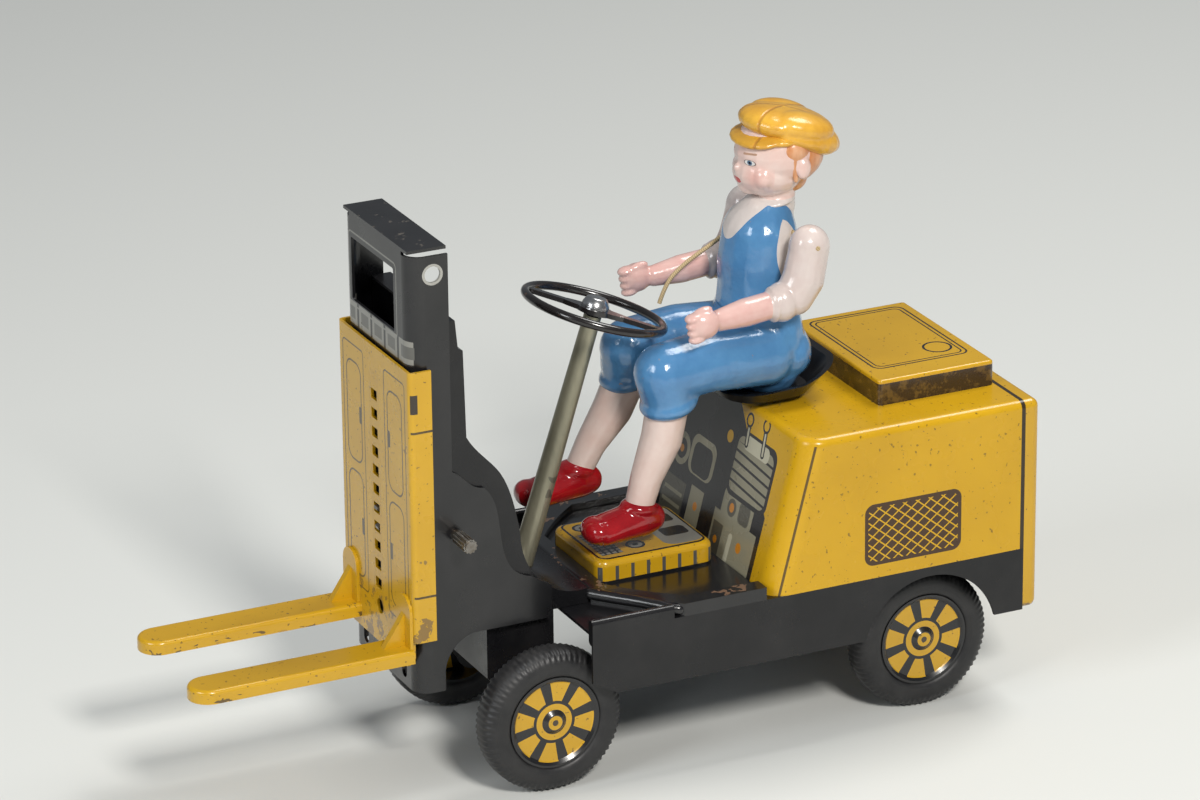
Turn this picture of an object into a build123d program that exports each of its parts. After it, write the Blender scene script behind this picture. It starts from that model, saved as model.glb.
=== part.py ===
"""Friction-driven tin toy forklift with a seated doll driver.

Millimetres, +Z up, the ground is Z = 0. Forward is -Y and the vehicle's left side is +X.
The origin is under the middle of the vehicle's bounding box.
"""
import os
from math import acos, atan2, cos, degrees, pi, radians, sin, tan

from build123d import *

os.makedirs("parts", exist_ok=True)

# ---------------------------------------------------------------- driving dimensions
tin = 0.8                    # sheet thickness of every stamped piece
running_gap = 0.05           # radial clearance of a shaft in its bore

tyre_radius = 19.0
tyre_width = 9.6
hub_radius = 12.0
axle_radius = 1.2
front_axle_y = -22.0
rear_axle_y = 85.0
front_tyre_outer_x = 34.0
rear_tyre_outer_x = 30.0

body_half_width = 38.4
skirt_bottom_z = 26.2
floor_z = 43.3               # top of the chassis plate, where the yellow body begins
chassis_front_y = -13.7
body_rear_y = 109.0
cap_rear_y = 113.3
body_top_z = 83.8
body_front_top_y = 46.1
body_front_bottom_y = 35.3
rim_z = 46.7                 # top of the curled floor rim

hood_half_width = 24.3
hood_front_y = 74.1
hood_rear_y = 107.5
hood_top_z = 90.6

mast_half_width = 20.4
mast_front_y = -53.5
mast_rear_y = -43.0
mast_bottom_z = 27.5
mast_top_z = 145.0
mast_corner = 4.4

carriage_half_width = 22.1
carriage_front_y = -54.8
carriage_top_z = 114.3
carriage_bottom_z = 34.5
flange_bottom_z = 42.4
flange_rear_y = -48.8

rack_pitch = 5.07            # distance from one carriage slot to the next
rack_slots = 11
rack_top_z = 101.5
sprocket_teeth = 15
sprocket_pitch_radius = sprocket_teeth * rack_pitch / (2 * pi)
lift_shaft_z = 69.0
lift_shaft_y = carriage_front_y + tin / 2 + sprocket_pitch_radius
lift_shaft_radius = 1.4

fork_tip_y = -113.3
fork_top_z = 40.7
fork_depth = 3.5
fork_inner_x = 11.4
fork_outer_x = 22.1

wheel_centre_y = 5.9         # steering wheel
wheel_centre_z = 113.6
wheel_radius = 19.2
column_tilt = 18.1           # degrees, the top leans back towards the driver
column_foot_radius = 2.9
column_top_radius = 2.3
column_foot_z = 47.0

shoulder_y = 57.5
shoulder_z = 128.5
seat_y = 51.0



# ---------------------------------------------------------------- helpers
def across(x):
    """A sketch plane square to the axles at a given x; its local axes are Y and Z."""
    return Plane.YZ.offset(x)


def cross_drill(y, z, radius, length=100.0):
    """A drill along X through the point (y, z)."""
    with BuildPart() as drill:
        with Locations((0, y, z)):
            Cylinder(radius, length, rotation=(0, 90, 0))
    return drill.part


def limb(*rings):
    """A smooth length through rings given as (centre, direction, half width, half height)."""
    with BuildPart() as length:
        for centre, direction, half_width, half_height in rings:
            with BuildSketch(Plane(origin=centre, x_dir=(1, 0, 0), z_dir=direction)):
                Ellipse(half_width, half_height)
        loft()
    return length.part


# ---------------------------------------------------------------- chassis
tongue_front_y = front_axle_y - 11.0
chassis_length = body_rear_y - chassis_front_y
with BuildPart() as chassis:
    with BuildSketch(Plane.XY.offset(skirt_bottom_z)):
        with Locations((0, (chassis_front_y + body_rear_y) / 2)):
            Rectangle(2 * body_half_width, chassis_length)
    extrude(amount=floor_z - skirt_bottom_z)
    # hollow underneath and open at the front
    with BuildSketch(Plane.XY.offset(skirt_bottom_z)):
        with Locations((0, (chassis_front_y + body_rear_y) / 2 - tin)):
            Rectangle(2 * (body_half_width - tin), chassis_length)
    extrude(amount=floor_z - tin - skirt_bottom_z, mode=Mode.SUBTRACT)
    # a tongue of the floor reaches forward between the mast cheeks
    with BuildSketch(Plane.XY.offset(floor_z - tin)):
        with Locations((0, (tongue_front_y + chassis_front_y + 2) / 2)):
            Rectangle(34, chassis_front_y + 2 - tongue_front_y)
    extrude(amount=tin)
    # rolled edge along the top of each skirt, ahead of the driver's floor
    with BuildSketch(Plane.XZ.offset(-chassis_front_y)):
        with Locations((body_half_width - 1.2, floor_z), (1.2 - body_half_width, floor_z)):
            SlotOverall(6.8, 2.4, rotation=90)
    extrude(amount=-22.7)
    # round wheel arches, and the front corners of the skirt cut away on a slope
    add(cross_drill(rear_axle_y - 3, 21.5, 19.3), mode=Mode.SUBTRACT)
    with BuildSketch(Plane.YZ):
        Polygon((-15, 25), (-15, 29.8), (chassis_front_y, 29.8), (-4.5, 25), align=None)
    extrude(amount=60, both=True, mode=Mode.SUBTRACT)
chassis.part.label = "chassis"
export_step(chassis.part, "parts/chassis.step")

# ---------------------------------------------------------------- driver's floor
# A shallow tray. Its front edge is straight between the mast cheeks, then sweeps back to the sides.
deck_front_y = -5.3
deck_side_y = 12.0
deck_rear_y = body_front_bottom_y - 0.4
with BuildPart() as floor_deck:
    with BuildSketch(Plane.XY.offset(floor_z)):
        with BuildLine():
            Line((-19.6, deck_front_y), (19.6, deck_front_y))
            Spline((19.6, deck_front_y), (30, 3.6), (36, 9.3), (body_half_width, deck_side_y))
            Line((body_half_width, deck_side_y), (body_half_width, deck_rear_y))
            Line((body_half_width, deck_rear_y), (-body_half_width, deck_rear_y))
            Line((-body_half_width, deck_rear_y), (-body_half_width, deck_side_y))
            Spline((-body_half_width, deck_side_y), (-36, 9.3), (-30, 3.6), (-19.6, deck_front_y))
        make_face()
    extrude(amount=rim_z - floor_z)
    # the well inside the broad curled lip
    with BuildSketch(Plane.XY.offset(floor_z + tin)):
        with BuildLine():
            Line((-17.8, deck_front_y + 4.6), (17.8, deck_front_y + 4.6))
            Spline((17.8, deck_front_y + 4.6), (27.4, 7.6), (33.6, 14.6))
            Line((33.6, 14.6), (33.6, deck_rear_y + 1))
            Line((33.6, deck_rear_y + 1), (-33.6, deck_rear_y + 1))
            Line((-33.6, deck_rear_y + 1), (-33.6, 14.6))
            Spline((-33.6, 14.6), (-27.4, 7.6), (-17.8, deck_front_y + 4.6))
        make_face()
    extrude(amount=rim_z - floor_z, mode=Mode.SUBTRACT)
    # the lip's front edge is rounded over
    front_edge = floor_deck.edges().filter_by(
        lambda edge: edge.center().Z > rim_z - 0.1 and edge.center().Y < deck_front_y + 0.1
    )
    fillet(front_edge, 1.2)
floor_deck.part.label = "floor_deck"
export_step(floor_deck.part, "parts/floor_deck.step")

# printed sheet in the well, with one raised rounded block embossed in it
panel_z = floor_z + tin + 0.02
with BuildPart() as floor_panel:
    with BuildSketch(Plane.XY.offset(panel_z)):
        with BuildLine():
            Line((-17.4, deck_front_y + 5.0), (17.4, deck_front_y + 5.0))
            Spline((17.4, deck_front_y + 5.0), (27.0, 8.0), (33.2, 15.0))
            Line((33.2, 15.0), (33.2, deck_rear_y))
            Line((33.2, deck_rear_y), (-33.2, deck_rear_y))
            Line((-33.2, deck_rear_y), (-33.2, 15.0))
            Spline((-33.2, 15.0), (-27.0, 8.0), (-17.4, deck_front_y + 5.0))
        make_face()
    extrude(amount=0.6)
    with BuildSketch(Plane.XY.offset(panel_z)):
        with Locations((0, 16.0)):
            RectangleRounded(28, 33, 3)
    extrude(amount=51.0 - panel_z)
    fillet(floor_panel.faces().sort_by(Axis.Z)[-1].edges(), 1.8)
    with BuildSketch(Plane.XY.offset(panel_z - 0.1)):
        with Locations((0, 16.0)):
            RectangleRounded(26.8, 31.8, 2.4)
    extrude(amount=50.4 - panel_z, mode=Mode.SUBTRACT)
floor_panel.part.label = "floor_panel"
export_step(floor_panel.part, "parts/floor_panel.step")

# ---------------------------------------------------------------- body shell
with BuildPart() as body_shell:
    with BuildSketch(across(-body_half_width)):
        Polygon(
            (body_front_bottom_y, floor_z),
            (body_front_top_y, body_top_z),
            (body_rear_y, body_top_z),
            (body_rear_y, floor_z),
            align=None,
        )
    extrude(amount=2 * body_half_width)
    slanted_corners = body_shell.edges().filter_by(
        lambda edge: abs(edge.center().X) > body_half_width - 0.1
        and edge.center().Y < body_front_top_y
        and abs(edge.center().Z - (floor_z + body_top_z) / 2) < 1
    )
    fillet(slanted_corners, 6.0)
    top_edges = body_shell.edges().filter_by(
        lambda edge: edge.center().Z > body_top_z - 0.2 and edge.center().Y < body_rear_y - 0.2
    )
    fillet(top_edges, 2.2)
    lowest = body_shell.faces().sort_by(Axis.Z)[0]
    rearmost = body_shell.faces().sort_by(Axis.Y)[-1]
    offset(amount=-tin, openings=[lowest, rearmost])
body_shell.part.label = "body_shell"
export_step(body_shell.part, "parts/body_shell.step")

# ---------------------------------------------------------------- rear cap
with BuildPart() as rear_cap:
    with BuildSketch(Plane.XZ.offset(-body_rear_y)):
        with Locations((0, (skirt_bottom_z + body_top_z) / 2)):
            RectangleRounded(2 * body_half_width, body_top_z - skirt_bottom_z, 2.2)
    extrude(amount=-(cap_rear_y - body_rear_y))
    fillet(rear_cap.faces().sort_by(Axis.Y)[-1].edges(), 2.0)
    offset(amount=-tin, openings=rear_cap.faces().sort_by(Axis.Y)[0])
rear_cap.part.label = "rear_cap"
export_step(rear_cap.part, "parts/rear_cap.step")

# ---------------------------------------------------------------- hood cover
with BuildPart() as hood_cover:
    with BuildSketch(Plane.XY.offset(body_top_z)):
        with Locations((0, (hood_front_y + hood_rear_y) / 2)):
            RectangleRounded(2 * hood_half_width, hood_rear_y - hood_front_y, 1.2)
    extrude(amount=hood_top_z - body_top_z)
    fillet(hood_cover.faces().sort_by(Axis.Z)[-1].edges(), 0.7)
    offset(amount=-tin, openings=hood_cover.faces().sort_by(Axis.Z)[0])
hood_cover.part.label = "hood_cover"
export_step(hood_cover.part, "parts/hood_cover.step")

# ---------------------------------------------------------------- seat
seat_bottom_z = 86.0
seat_front_rim_z = 88.3
seat_rear_rim_z = 94.0
with BuildPart() as seat_pan:
    with BuildSketch(Plane.XY.offset(seat_bottom_z)):
        with Locations((0, seat_y)):
            RectangleRounded(28, 24, 9)
    with BuildSketch(Plane.XY.offset(seat_rear_rim_z)):
        with Locations((0, seat_y)):
            RectangleRounded(40, 36, 13)
    loft()
    with BuildSketch(Plane.XY.offset(seat_bottom_z + tin)):
        with Locations((0, seat_y)):
            RectangleRounded(26.8, 22.8, 8.4)
    with BuildSketch(Plane.XY.offset(seat_rear_rim_z + tin)):
        with Locations((0, seat_y)):
            RectangleRounded(38.8, 34.8, 12.4)
    loft(mode=Mode.SUBTRACT)
    # the rim rises to the turned-up back
    with BuildSketch(Plane.YZ):
        Polygon(
            (seat_y - 20, 87.9),
            (seat_y - 18, seat_front_rim_z),
            (seat_y + 6, seat_front_rim_z + 1.4),
            (seat_y + 18.2, seat_rear_rim_z),
            (seat_y + 18.2, seat_rear_rim_z + 4),
            (seat_y - 20, seat_rear_rim_z + 4),
            align=None,
        )
    extrude(amount=30, both=True, mode=Mode.SUBTRACT)
    # hollow foot that stands on the body
    with BuildSketch(Plane.XY.offset(body_top_z)):
        with Locations((0, seat_y + 3)):
            Circle(7)
            Circle(7 - tin, mode=Mode.SUBTRACT)
    extrude(amount=seat_bottom_z + tin / 2 - body_top_z)
seat_pan.part.label = "seat_pan"
export_step(seat_pan.part, "parts/seat_pan.step")

# ---------------------------------------------------------------- mast channel
# A box open at the back, with a window near the top, an opening for the toothed wheel and two
# guide slots. Each cheek grows rearwards at the foot and is cut away over the front tyre.
mast_mid_y = (mast_front_y + mast_rear_y) / 2
mast_wall_top_z = 143.2
guide_slot_x = 12.0
carriage_rise = 17.0
carriage_drop = 31.0
stud_heights = (62.0, 92.0)
with BuildPart() as mast_channel:
    with BuildSketch(Plane.XY.offset(mast_bottom_z)):
        with Locations((0, mast_mid_y)):
            Rectangle(2 * mast_half_width, mast_rear_y - mast_front_y)
    extrude(amount=mast_wall_top_z - mast_bottom_z)
    fillet(mast_channel.edges().filter_by(Axis.Z).group_by(Axis.Y)[0], mast_corner)
    rear_face = mast_channel.faces().sort_by(Axis.Y)[-1]
    ends = [mast_channel.faces().sort_by(Axis.Z)[0], mast_channel.faces().sort_by(Axis.Z)[-1]]
    offset(amount=-tin, openings=[rear_face] + ends)
    # cheeks beside the cowl, over the front wheels
    for side in (-1, 1):
        with BuildSketch(across(side * (mast_half_width - tin / 2))):
            with BuildLine():
                Spline((mast_rear_y - 1, 86.2), (-40, 83.5), (-37.5, 81.2), (-34.5, 80.2))
                Spline((-34.5, 80.2), (-31.8, 76), (-30.3, 68), (-27.1, 57), (-22, 54))
                Line((-22, 54), (-16.4, 50.6))
                Line((-16.4, 50.6), (-16.4, 41.8))
                Line((-16.4, 41.8), (-38, 41.8))
                ThreePointArc((-38, 41.8), (-43.4, 38.6), (-45.9, 33))
                Line((-45.9, 33), (-45.9, 30))
                Line((-45.9, 30), (mast_rear_y - 5, 30))
                Line((mast_rear_y - 5, 30), (mast_rear_y - 5, 86.2))
                Line((mast_rear_y - 5, 86.2), (mast_rear_y - 1, 86.2))
            make_face()
        extrude(amount=tin / 2, both=True)
    # the box itself is cut away behind the same curve
    with BuildSketch(Plane.YZ):
        with BuildLine():
            Line((-38, 41.8), (-38, 20))
            Line((-38, 20), (-45.9, 20))
            Line((-45.9, 20), (-45.9, 33))
            ThreePointArc((-45.9, 33), (-43.4, 38.6), (-38, 41.8))
        make_face()
    extrude(amount=30, both=True, mode=Mode.SUBTRACT)
    # window, toothed wheel's opening and guide slots
    slot_top_z = stud_heights[1] + carriage_rise + 3.8
    slot_bottom_z = stud_heights[0] - carriage_drop - 1.5
    with BuildSketch(Plane.XZ.offset(1 - mast_front_y)):
        with Locations((-2.0, 129.8)):
            RectangleRounded(26.0, 16.5, 0.6)
        with Locations((0, lift_shaft_z)):
            Rectangle(6.0, 18.0)
        slot_middle_z = (slot_top_z + slot_bottom_z) / 2
        with Locations((-guide_slot_x, slot_middle_z), (guide_slot_x, slot_middle_z)):
            SlotOverall(slot_top_z - slot_bottom_z, 3.0, rotation=90)
    extrude(amount=-(tin + 2), mode=Mode.SUBTRACT)
    # top tab bent back from the front face, clear of the side walls
    with BuildSketch(Plane.XY.offset(mast_top_z - tin)):
        with Locations((0, mast_mid_y)):
            Rectangle(2 * mast_half_width - 2, mast_rear_y - mast_front_y)
    extrude(amount=tin)
    with BuildSketch(Plane.XY.offset(mast_wall_top_z)):
        with Locations((0, mast_front_y + tin / 2)):
            Rectangle(2 * (mast_half_width - mast_corner), tin)
    extrude(amount=mast_top_z - mast_wall_top_z)
    # pin holes near the top and bores of the lift shaft
    add(cross_drill(-47.1, 138.4, 2.1), mode=Mode.SUBTRACT)
    add(cross_drill(lift_shaft_y, lift_shaft_z, lift_shaft_radius + running_gap), mode=Mode.SUBTRACT)
mast_channel.part.label = "mast_channel"
export_step(mast_channel.part, "parts/mast_channel.step")

# ---------------------------------------------------------------- steering axis
lean = Vector(0, sin(radians(column_tilt)), cos(radians(column_tilt)))
wheel_centre = Vector(0, wheel_centre_y, wheel_centre_z)
column_length = (wheel_centre_z - column_foot_z) / lean.Z


def square_to_column(distance):
    """A plane square to the steering column, `distance` above the steering wheel's centre."""
    return Plane(origin=wheel_centre + lean * distance, x_dir=(1, 0, 0), z_dir=lean)


# ---------------------------------------------------------------- cowl behind the mast
# One bent sheet that closes the channel's back and sweeps down to the driver's floor.
cowl_half_width = mast_half_width - tin - 0.02


def cowl_outline(forward, down):
    """The cowl's side outline in Y and Z, moved by the sheet's thickness for its inside."""
    def at(y, z):
        return (y - forward, z - down)

    with BuildSketch() as outline:
        with BuildLine():
            Polyline(at(-47, 125.2), at(-41.1, 125.2), at(-40.4, 117.7), at(-39.1, 117), at(-38.6, 94))
            Spline(at(-38.6, 94), at(-35.3, 89.4), at(-30, 83.4), at(-26.5, 75.4), at(-24.4, 65))
            Spline(at(-24.4, 65), at(-22.4, 56.7), at(-17.4, 50.4), at(-6, 47.4))
            Polyline(at(-6, 47.4), at(-6, 43.4), at(-47, 43.4), at(-47, 125.2))
        make_face()
    return outline.sketch


with BuildPart() as mast_back:
    with BuildSketch(across(-cowl_half_width)):
        add(cowl_outline(0, 0))
    extrude(amount=2 * cowl_half_width)
    with BuildSketch(across(tin - cowl_half_width)):
        add(cowl_outline(tin, tin - 0.1))
    extrude(amount=2 * (cowl_half_width - tin), mode=Mode.SUBTRACT)
    # cut level with the mast's front sheet, and open there
    with BuildSketch(across(-cowl_half_width - 1)):
        Polygon((-60, 40), (-46.4, 40), (-46.4, 130), (-60, 130), align=None)
    extrude(amount=2 * cowl_half_width + 2, mode=Mode.SUBTRACT)
    add(cross_drill(lift_shaft_y, lift_shaft_z, lift_shaft_radius + running_gap), mode=Mode.SUBTRACT)
    # round hole for the foot of the steering column
    with BuildSketch(square_to_column(-column_length - 3)):
        Circle(column_foot_radius + 0.1)
    extrude(amount=14, mode=Mode.SUBTRACT)
mast_back.part.label = "mast_back"
export_step(mast_back.part, "parts/mast_back.step")

# ---------------------------------------------------------------- front axle bracket
bracket_rear_y = front_axle_y + 7.5
bracket_top_z = floor_z - tin
bracket_bottom_z = 26.7
bracket_mid_y = (tongue_front_y + bracket_rear_y) / 2
with BuildPart() as front_axle_bracket:
    with BuildSketch(Plane.XY.offset(bracket_bottom_z)):
        with Locations((0, bracket_mid_y)):
            Rectangle(34, bracket_rear_y - tongue_front_y)
    extrude(amount=bracket_top_z - bracket_bottom_z)
    for side in (-1, 1):
        with BuildSketch(across(side * (17 - tin / 2))):
            with BuildLine():
                Line((tongue_front_y, 27), (bracket_rear_y, 27))
                Line((bracket_rear_y, 27), (front_axle_y + 4.4, 18))
                ThreePointArc((front_axle_y + 4.4, 18), (front_axle_y, 14.4), (front_axle_y - 4.4, 18))
                Line((front_axle_y - 4.4, 18), (tongue_front_y, 27))
            make_face()
        extrude(amount=tin / 2, both=True)
    with BuildSketch(Plane.XY.offset(bracket_bottom_z - 15)):
        with Locations((0, bracket_mid_y)):
            Rectangle(34 - 2 * tin, bracket_rear_y - tongue_front_y - 2 * tin)
    extrude(amount=bracket_top_z - tin - bracket_bottom_z + 15, mode=Mode.SUBTRACT)
    add(cross_drill(front_axle_y, tyre_radius, axle_radius + running_gap), mode=Mode.SUBTRACT)
front_axle_bracket.part.label = "front_axle_bracket"
export_step(front_axle_bracket.part, "parts/front_axle_bracket.step")

# ---------------------------------------------------------------- lifting carriage
with BuildPart() as carriage:
    carriage_mid_y = (carriage_front_y + flange_rear_y) / 2
    with BuildSketch(Plane.XY.offset(flange_bottom_z)):
        with Locations((0, carriage_mid_y)):
            Rectangle(2 * carriage_half_width, flange_rear_y - carriage_front_y)
    extrude(amount=carriage_top_z - flange_bottom_z)
    fillet(carriage.edges().filter_by(Axis.Z).group_by(Axis.Y)[0], 1.5)
    with BuildSketch(Plane.XY.offset(flange_bottom_z)):
        with Locations((0, carriage_mid_y + tin)):
            Rectangle(2 * (carriage_half_width - tin), flange_rear_y - carriage_front_y)
    extrude(amount=carriage_top_z, mode=Mode.SUBTRACT)
    # foot plate between and behind the forks, with chamfered corners
    with BuildSketch(Plane.XZ.offset(-carriage_front_y)):
        with BuildLine():
            Polyline(
                (-20.6, flange_bottom_z + 1),
                (-20.6, 38.0),
                (-17.0, carriage_bottom_z),
                (17.0, carriage_bottom_z),
                (20.6, 38.0),
                (20.6, flange_bottom_z + 1),
                close=True,
            )
        make_face()
    extrude(amount=-tin)
    # rack slots and the hook hole below them
    with BuildSketch(Plane.XZ.offset(-carriage_front_y)):
        for slot in range(rack_slots):
            with Locations((0, rack_top_z - slot * rack_pitch)):
                Rectangle(3.6, 2.7)
        with Locations((0.5, 44.6)):
            Circle(2.0)
    extrude(amount=-tin, mode=Mode.SUBTRACT)
carriage.part.label = "carriage"
export_step(carriage.part, "parts/carriage.step")

# inner strips that keep the carriage on the mast; their studs run in the guide slots
for name, side in (("left_guide_strip", 1), ("right_guide_strip", -1)):
    with BuildPart() as guide_strip:
        with BuildSketch(Plane.XZ.offset(-(mast_front_y + tin + 0.5))):
            with Locations((side * 12, 76.5)):
                SlotOverall(46, 8, rotation=90)
        extrude(amount=-1.0)
        for stud_z in stud_heights:
            with BuildSketch(Plane.XZ.offset(-(carriage_front_y + tin))):
                with Locations((side * 12, stud_z)):
                    Circle(1.1)
            extrude(amount=-(mast_front_y + tin + 0.5 - carriage_front_y - tin + 0.5))
    guide_strip.part.label = name
    export_step(guide_strip.part, f"parts/{name}.step")

# ---------------------------------------------------------------- forks
fork_mid_x = (fork_inner_x + fork_outer_x) / 2
fork_width = fork_outer_x - fork_inner_x
for name, side in (("left_fork", 1), ("right_fork", -1)):
    with BuildPart() as fork:
        with BuildSketch(Plane.XY.offset(fork_top_z - fork_depth)):
            with BuildLine():
                Polyline(
                    (side * fork_mid_x - fork_width / 2, fork_tip_y + 5.0),
                    (side * fork_mid_x - fork_width / 2, carriage_front_y),
                    (side * fork_mid_x + fork_width / 2, carriage_front_y),
                    (side * fork_mid_x + fork_width / 2, fork_tip_y + 5.0),
                )
                ThreePointArc(
                    (side * fork_mid_x + fork_width / 2, fork_tip_y + 5.0),
                    (side * fork_mid_x, fork_tip_y),
                    (side * fork_mid_x - fork_width / 2, fork_tip_y + 5.0),
                )
            make_face()
        extrude(amount=fork_depth)
        top_rim = fork.faces().sort_by(Axis.Z)[-1].edges().filter_by(
            lambda e: e.center().Y < carriage_front_y - 0.1
        )
        fillet(top_rim, 1.1)
        offset(amount=-tin, openings=fork.faces().sort_by(Axis.Z)[0])
        # upright tab against the carriage, with a stamped gusset in the corner
        with BuildSketch(Plane.XZ.offset(-carriage_front_y)):
            with Locations((side * fork_mid_x, fork_top_z - 1.5)):
                RectangleRounded(8.6, 30, 4.2)
            with Locations((side * fork_mid_x, fork_top_z - 13)):
                Rectangle(12, 20, mode=Mode.SUBTRACT)
        extrude(amount=tin)
        with BuildSketch(Plane.YZ.offset(side * fork_mid_x)):
            Polygon(
                (carriage_front_y - 0.2, fork_top_z - 0.4),
                (carriage_front_y - 0.2, fork_top_z + 9.5),
                (carriage_front_y - 6.8, fork_top_z - 0.4),
                align=None,
            )
        extrude(amount=1.0, both=True)
    fork.part.label = name
    export_step(fork.part, f"parts/{name}.step")


# ---------------------------------------------------------------- gears
pressure_angle = radians(25)
gear_backlash = 0.12


def gear_outline(teeth, module, turn):
    """An involute spur gear. Its first tooth points `turn` degrees round from the local X axis."""
    pitch_radius = teeth * module / 2
    base_radius = pitch_radius * cos(pressure_angle)
    tip_radius = pitch_radius + module
    root_radius = pitch_radius - 1.25 * module
    half_tooth = pi / (2 * teeth) - gear_backlash / (2 * pitch_radius)
    start_radius = max(base_radius, root_radius)
    spread = half_tooth + tan(pressure_angle) - pressure_angle
    flank = []
    if root_radius < base_radius:
        flank.append((root_radius, spread))
    for step in range(4):
        radius = start_radius + (tip_radius - start_radius) * step / 3
        slope = acos(min(1, base_radius / radius))
        flank.append((radius, spread - tan(slope) + slope))
    points = []
    for tooth in range(teeth):
        middle = radians(turn) + 2 * pi * tooth / teeth
        points += [(r * cos(middle - a), r * sin(middle - a)) for r, a in flank]
        points += [(r * cos(middle + a), r * sin(middle + a)) for r, a in reversed(flank)]
    with BuildSketch() as outline:
        with BuildLine():
            Polyline(*points, close=True)
        make_face()
    return outline.sketch


def gear_plane(x, y, z):
    """A plane square to the axles with its origin on a shaft; its local axes are Y and Z."""
    return Plane(origin=(x, y, z), x_dir=(0, 1, 0), z_dir=(1, 0, 0))


# ---------------------------------------------------------------- lift shaft and toothed wheel
with BuildPart() as lift_sprocket:
    with BuildSketch(gear_plane(-1.0, lift_shaft_y, lift_shaft_z)):
        Circle(sprocket_pitch_radius - 1.5)
        # one tooth sits in the carriage slot nearest the shaft's height
        lead = degrees(((rack_top_z - lift_shaft_z) % rack_pitch) / sprocket_pitch_radius)
        with PolarLocations(0, sprocket_teeth, start_angle=180 - lead):
            Polygon(
                (sprocket_pitch_radius - 1.8, -0.9),
                (sprocket_pitch_radius - 0.3, -0.8),
                (sprocket_pitch_radius + 0.9, -0.4),
                (sprocket_pitch_radius + 0.9, 0.4),
                (sprocket_pitch_radius - 0.3, 0.8),
                (sprocket_pitch_radius - 1.8, 0.9),
                align=None,
            )
    extrude(amount=2.0)
    with BuildSketch(gear_plane(-4.0, lift_shaft_y, lift_shaft_z)):
        Circle(3.4)
    extrude(amount=8.0)
    add(cross_drill(lift_shaft_y, lift_shaft_z, lift_shaft_radius + 0.01), mode=Mode.SUBTRACT)
lift_sprocket.part.label = "lift_sprocket"
export_step(lift_sprocket.part, "parts/lift_sprocket.step")

shaft_far_x = -mast_half_width - 1.8
shaft_near_x = 29.5
with BuildPart() as lift_shaft:
    with BuildSketch(gear_plane(shaft_far_x, lift_shaft_y, lift_shaft_z)):
        Circle(lift_shaft_radius)
    extrude(amount=shaft_near_x - shaft_far_x)
    # spun-over head on the far side and a knurled grip on the near side
    with BuildSketch(gear_plane(shaft_far_x, lift_shaft_y, lift_shaft_z)):
        Circle(2.4)
    extrude(amount=1.2)
    with BuildSketch(gear_plane(shaft_near_x - 7.5, lift_shaft_y, lift_shaft_z)):
        Circle(1.7)
        with PolarLocations(1.7, 12):
            Circle(0.22)
    extrude(amount=7.0)
lift_shaft.part.label = "lift_shaft"
export_step(lift_shaft.part, "parts/lift_shaft.step")

# ---------------------------------------------------------------- friction motor
drive_teeth = 30
pinion_teeth = 10
idler_teeth = 28
motor_module = 0.8
idler_y = rear_axle_y - 15.2
idler_z = tyre_radius + 5.0
flywheel_y = idler_y - 15.0
flywheel_z = idler_z + 2.5
to_idler = degrees(atan2(idler_z - tyre_radius, idler_y - rear_axle_y))
to_flywheel = degrees(atan2(flywheel_z - idler_z, flywheel_y - idler_y))
frame_plate_x = 11.1
frame_front_y = 48.0
frame_rear_y = 92.0
frame_top_z = floor_z - tin

with BuildPart() as motor_frame:
    for side in (-1, 1):
        with BuildSketch(across(side * frame_plate_x)):
            Polygon(
                (frame_front_y, frame_top_z),
                (frame_rear_y, frame_top_z),
                (frame_rear_y, 17),
                (88, 13),
                (82, 13),
                (64, 18),
                (50, 20),
                (frame_front_y, 24),
                align=None,
            )
        extrude(amount=tin / 2, both=True)
    # top web under the chassis plate and a tie at the front
    with BuildSketch(Plane.XY.offset(frame_top_z)):
        with Locations((0, (frame_front_y + frame_rear_y) / 2)):
            Rectangle(2 * frame_plate_x + tin, frame_rear_y - frame_front_y)
            SlotOverall(26, 9, rotation=90, mode=Mode.SUBTRACT)
    extrude(amount=-tin)
    for bore_y, bore_z in ((rear_axle_y, tyre_radius), (idler_y, idler_z), (flywheel_y, flywheel_z)):
        add(cross_drill(bore_y, bore_z, axle_radius + running_gap), mode=Mode.SUBTRACT)
motor_frame.part.label = "motor_frame"
export_step(motor_frame.part, "parts/motor_frame.step")

with BuildPart() as drive_gear:
    with BuildSketch(gear_plane(-9.5, rear_axle_y, tyre_radius)):
        add(gear_outline(drive_teeth, motor_module, to_idler))
        with PolarLocations(7.2, 5):
            Circle(2.2, mode=Mode.SUBTRACT)
    extrude(amount=3.0)
    with BuildSketch(gear_plane(-9.5, rear_axle_y, tyre_radius)):
        Circle(3.2)
    extrude(amount=6.5)
    add(cross_drill(rear_axle_y, tyre_radius, axle_radius + 0.01), mode=Mode.SUBTRACT)
drive_gear.part.label = "drive_gear"
export_step(drive_gear.part, "parts/drive_gear.step")

with BuildPart() as idler_gear:
    with BuildSketch(gear_plane(-12.6, idler_y, idler_z)):
        Circle(axle_radius)
    extrude(amount=25.2)
    with BuildSketch(gear_plane(-10.0, idler_y, idler_z)):
        add(gear_outline(pinion_teeth, motor_module, to_idler + 180 + 180 / pinion_teeth))
    extrude(amount=4.0)
    with BuildSketch(gear_plane(-6.0, idler_y, idler_z)):
        Circle(2.6)
    extrude(amount=1.5)
    with BuildSketch(gear_plane(-4.5, idler_y, idler_z)):
        add(gear_outline(idler_teeth, motor_module, to_flywheel))
    extrude(amount=3.0)
idler_gear.part.label = "idler_gear"
export_step(idler_gear.part, "parts/idler_gear.step")

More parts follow.
